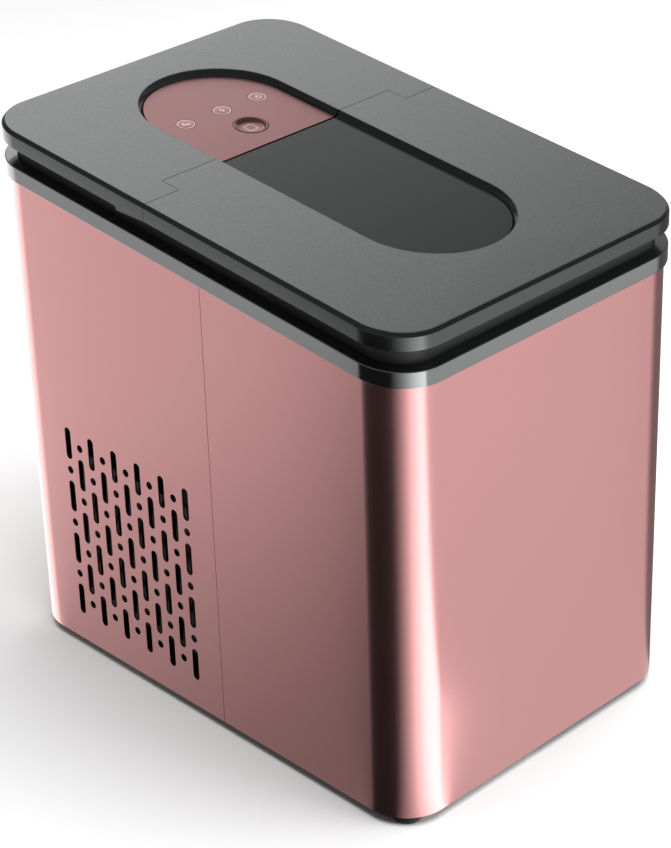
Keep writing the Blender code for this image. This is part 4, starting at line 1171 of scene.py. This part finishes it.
# %% [markdown]
# A card is a grid with its brightness stored at each point. The floor card is worked out in the angle
# round the casing's corners: dark from straight out at the side, then bright towards the front. So each
# round corner shows a dark and a bright stripe, and the flat faces stay even.


# %% Cards that only reflections see
def smooth(low, high, value):
    """Rises from 0 to 1 between two values, level at both ends."""
    t = np.clip((value - low) / (high - low), 0, 1)
    return t * t * (3 - 2 * t)


def card(name, points, glow):
    """A grid of points (rows, columns, 3) that gives off the brightness stored at each point."""
    rows, columns = glow.shape
    index = np.arange(rows * columns).reshape(rows, columns)
    quads = np.stack([index[:-1, :-1], index[1:, :-1], index[1:, 1:], index[:-1, 1:]], axis=-1)
    sheet = make_object(name, points, quads.reshape(-1, 4).tolist())
    layer = sheet.data.attributes.new("glow", "FLOAT", "POINT")
    layer.data.foreach_set("value", glow.ravel())
    paint_card = bpy.data.materials.new(name)
    paint_card.use_nodes = True
    nodes, links = paint_card.node_tree.nodes, paint_card.node_tree.links
    nodes.clear()
    emit, value, out = (
        nodes.new(kind) for kind in ("ShaderNodeEmission", "ShaderNodeAttribute", "ShaderNodeOutputMaterial")
    )
    value.attribute_name = "glow"
    links.new(value.outputs["Fac"], emit.inputs["Strength"])
    links.new(emit.outputs["Emission"], out.inputs["Surface"])
    sheet.data.materials.append(paint_card)
    sheet.visible_camera = False
    sheet.visible_diffuse = False
    sheet.visible_shadow = False
    sheet.visible_transmission = False
    return sheet


CARD_REACH = 1.8
t = np.linspace(-1, 1, 401)
spread = CARD_REACH * (0.3 * t + 0.7 * t**3)
floor_x, floor_y = np.meshgrid(spread, spread, indexing="ij")


def turn_about(x, y):
    """Degrees clockwise from straight out at the side to the floor point, about a point of the corner."""
    return -np.degrees(np.arctan2(floor_y - y, np.abs(floor_x) - x))


BLACK, RIGHT_DARK, START, BRIGHT, BACK_BRIGHT = 0.02, 0.20, 0.35, 2.7, 1.9
inner_x, inner_y = HALF_X - CORNER, HALF_Y - CORNER
side_turn = turn_about(HALF_X, -inner_y)
corner_turn = turn_about(inner_x, -inner_y)
front_turn = turn_about(inner_x - 0.0045, -HALF_Y)
rear_turn = -turn_about(HALF_X, inner_y)
left = floor_x < 0

beside = 0.24 + 0.52 * smooth(-0.14, 0.40, floor_y)
behind = smooth(52, 75, rear_turn) * (1 - smooth(105, 130, rear_turn))
glow = beside + (BACK_BRIGHT - beside) * behind
before = 0.79 + 0.10 * smooth(0.24, 0.55, -floor_y)
stripe = START + (BRIGHT - START) * smooth(38, 100, corner_turn)
stripe += (before - stripe) * np.where(left, smooth(128, 137, front_turn), 1)
glow = np.where(corner_turn > 0, stripe, glow)
lit = smooth(38, 47, -side_turn) + np.where(left, smooth(26, 46, corner_turn), smooth(25, 42, corner_turn))
dark = np.where(left, BLACK, RIGHT_DARK)
glow = dark + (glow - dark) * np.clip(lit, 0, 1)
card("floor_card", np.stack([floor_x, floor_y, np.full_like(floor_x, 0.0008)], axis=-1), glow)

# %% [markdown]
# The top mirrors a card that hangs behind on the right, brighter at its lower left. Everything else above
# is nearly dark, which keeps the plate's chamfer black. A weak lamp at the front lifts the neck.

# %% Card for the top, lamp and background
TOP_CARD_WAY = Vector((0.60, 0.524, 0.60)).normalized()
TOP_CARD_AWAY, TOP_CARD_HALF, TOP_CARD_LIFT = 1.15, 0.75, 0.34
u, v = np.meshgrid(np.linspace(-1, 1, 41), np.linspace(-1, 1, 41), indexing="ij")
middle = np.array(TOP_CARD_WAY * TOP_CARD_AWAY) + np.array([0, 0, TOP_CARD_LIFT])
level_axis = np.array(Vector((TOP_CARD_WAY.y, -TOP_CARD_WAY.x, 0)).normalized())
rise_axis = np.cross(level_axis, np.array(TOP_CARD_WAY))
points = middle + TOP_CARD_HALF * (u[..., None] * level_axis + v[..., None] * rise_axis)
top_glow = 1.24 - 1.16 * smooth(-0.55, 0.45, 0.62 * u + 0.68 * v)
top_glow *= (1 - smooth(0.7, 1.0, np.abs(v))) * (1 - smooth(0.8, 1.0, np.abs(u)))
card("top_card", points, top_glow)


def soft_light(name, size, energy, place):
    """A square lamp that shiny surfaces don't mirror; unturned, it shines straight down."""
    light = bpy.data.lights.new(name, "AREA")
    light.size = size
    light.energy = energy
    lamp = bpy.data.objects.new(name, light)
    bpy.context.scene.collection.objects.link(lamp)
    lamp.location = place
    lamp.visible_glossy = False
    return lamp


soft_light("soft_lamp", 3.2, 156, (0.3, -0.6, 3.0))
front_fill = soft_light("front_fill", 1.6, 34, (1.1, -2.2, 0.9))
front_fill.rotation_euler = Vector((1.1, -2.2, 0.6)).to_track_quat("Z", "Y").to_euler()

world = bpy.data.worlds.new("studio")
bpy.context.scene.world = world
world.use_nodes = True
world.node_tree.nodes["Background"].inputs["Color"].default_value = (1.0, 1.0, 1.0, 1.0)
world.node_tree.nodes["Background"].inputs["Strength"].default_value = 0.14
bpy.context.scene.view_settings.view_transform = "Standard"
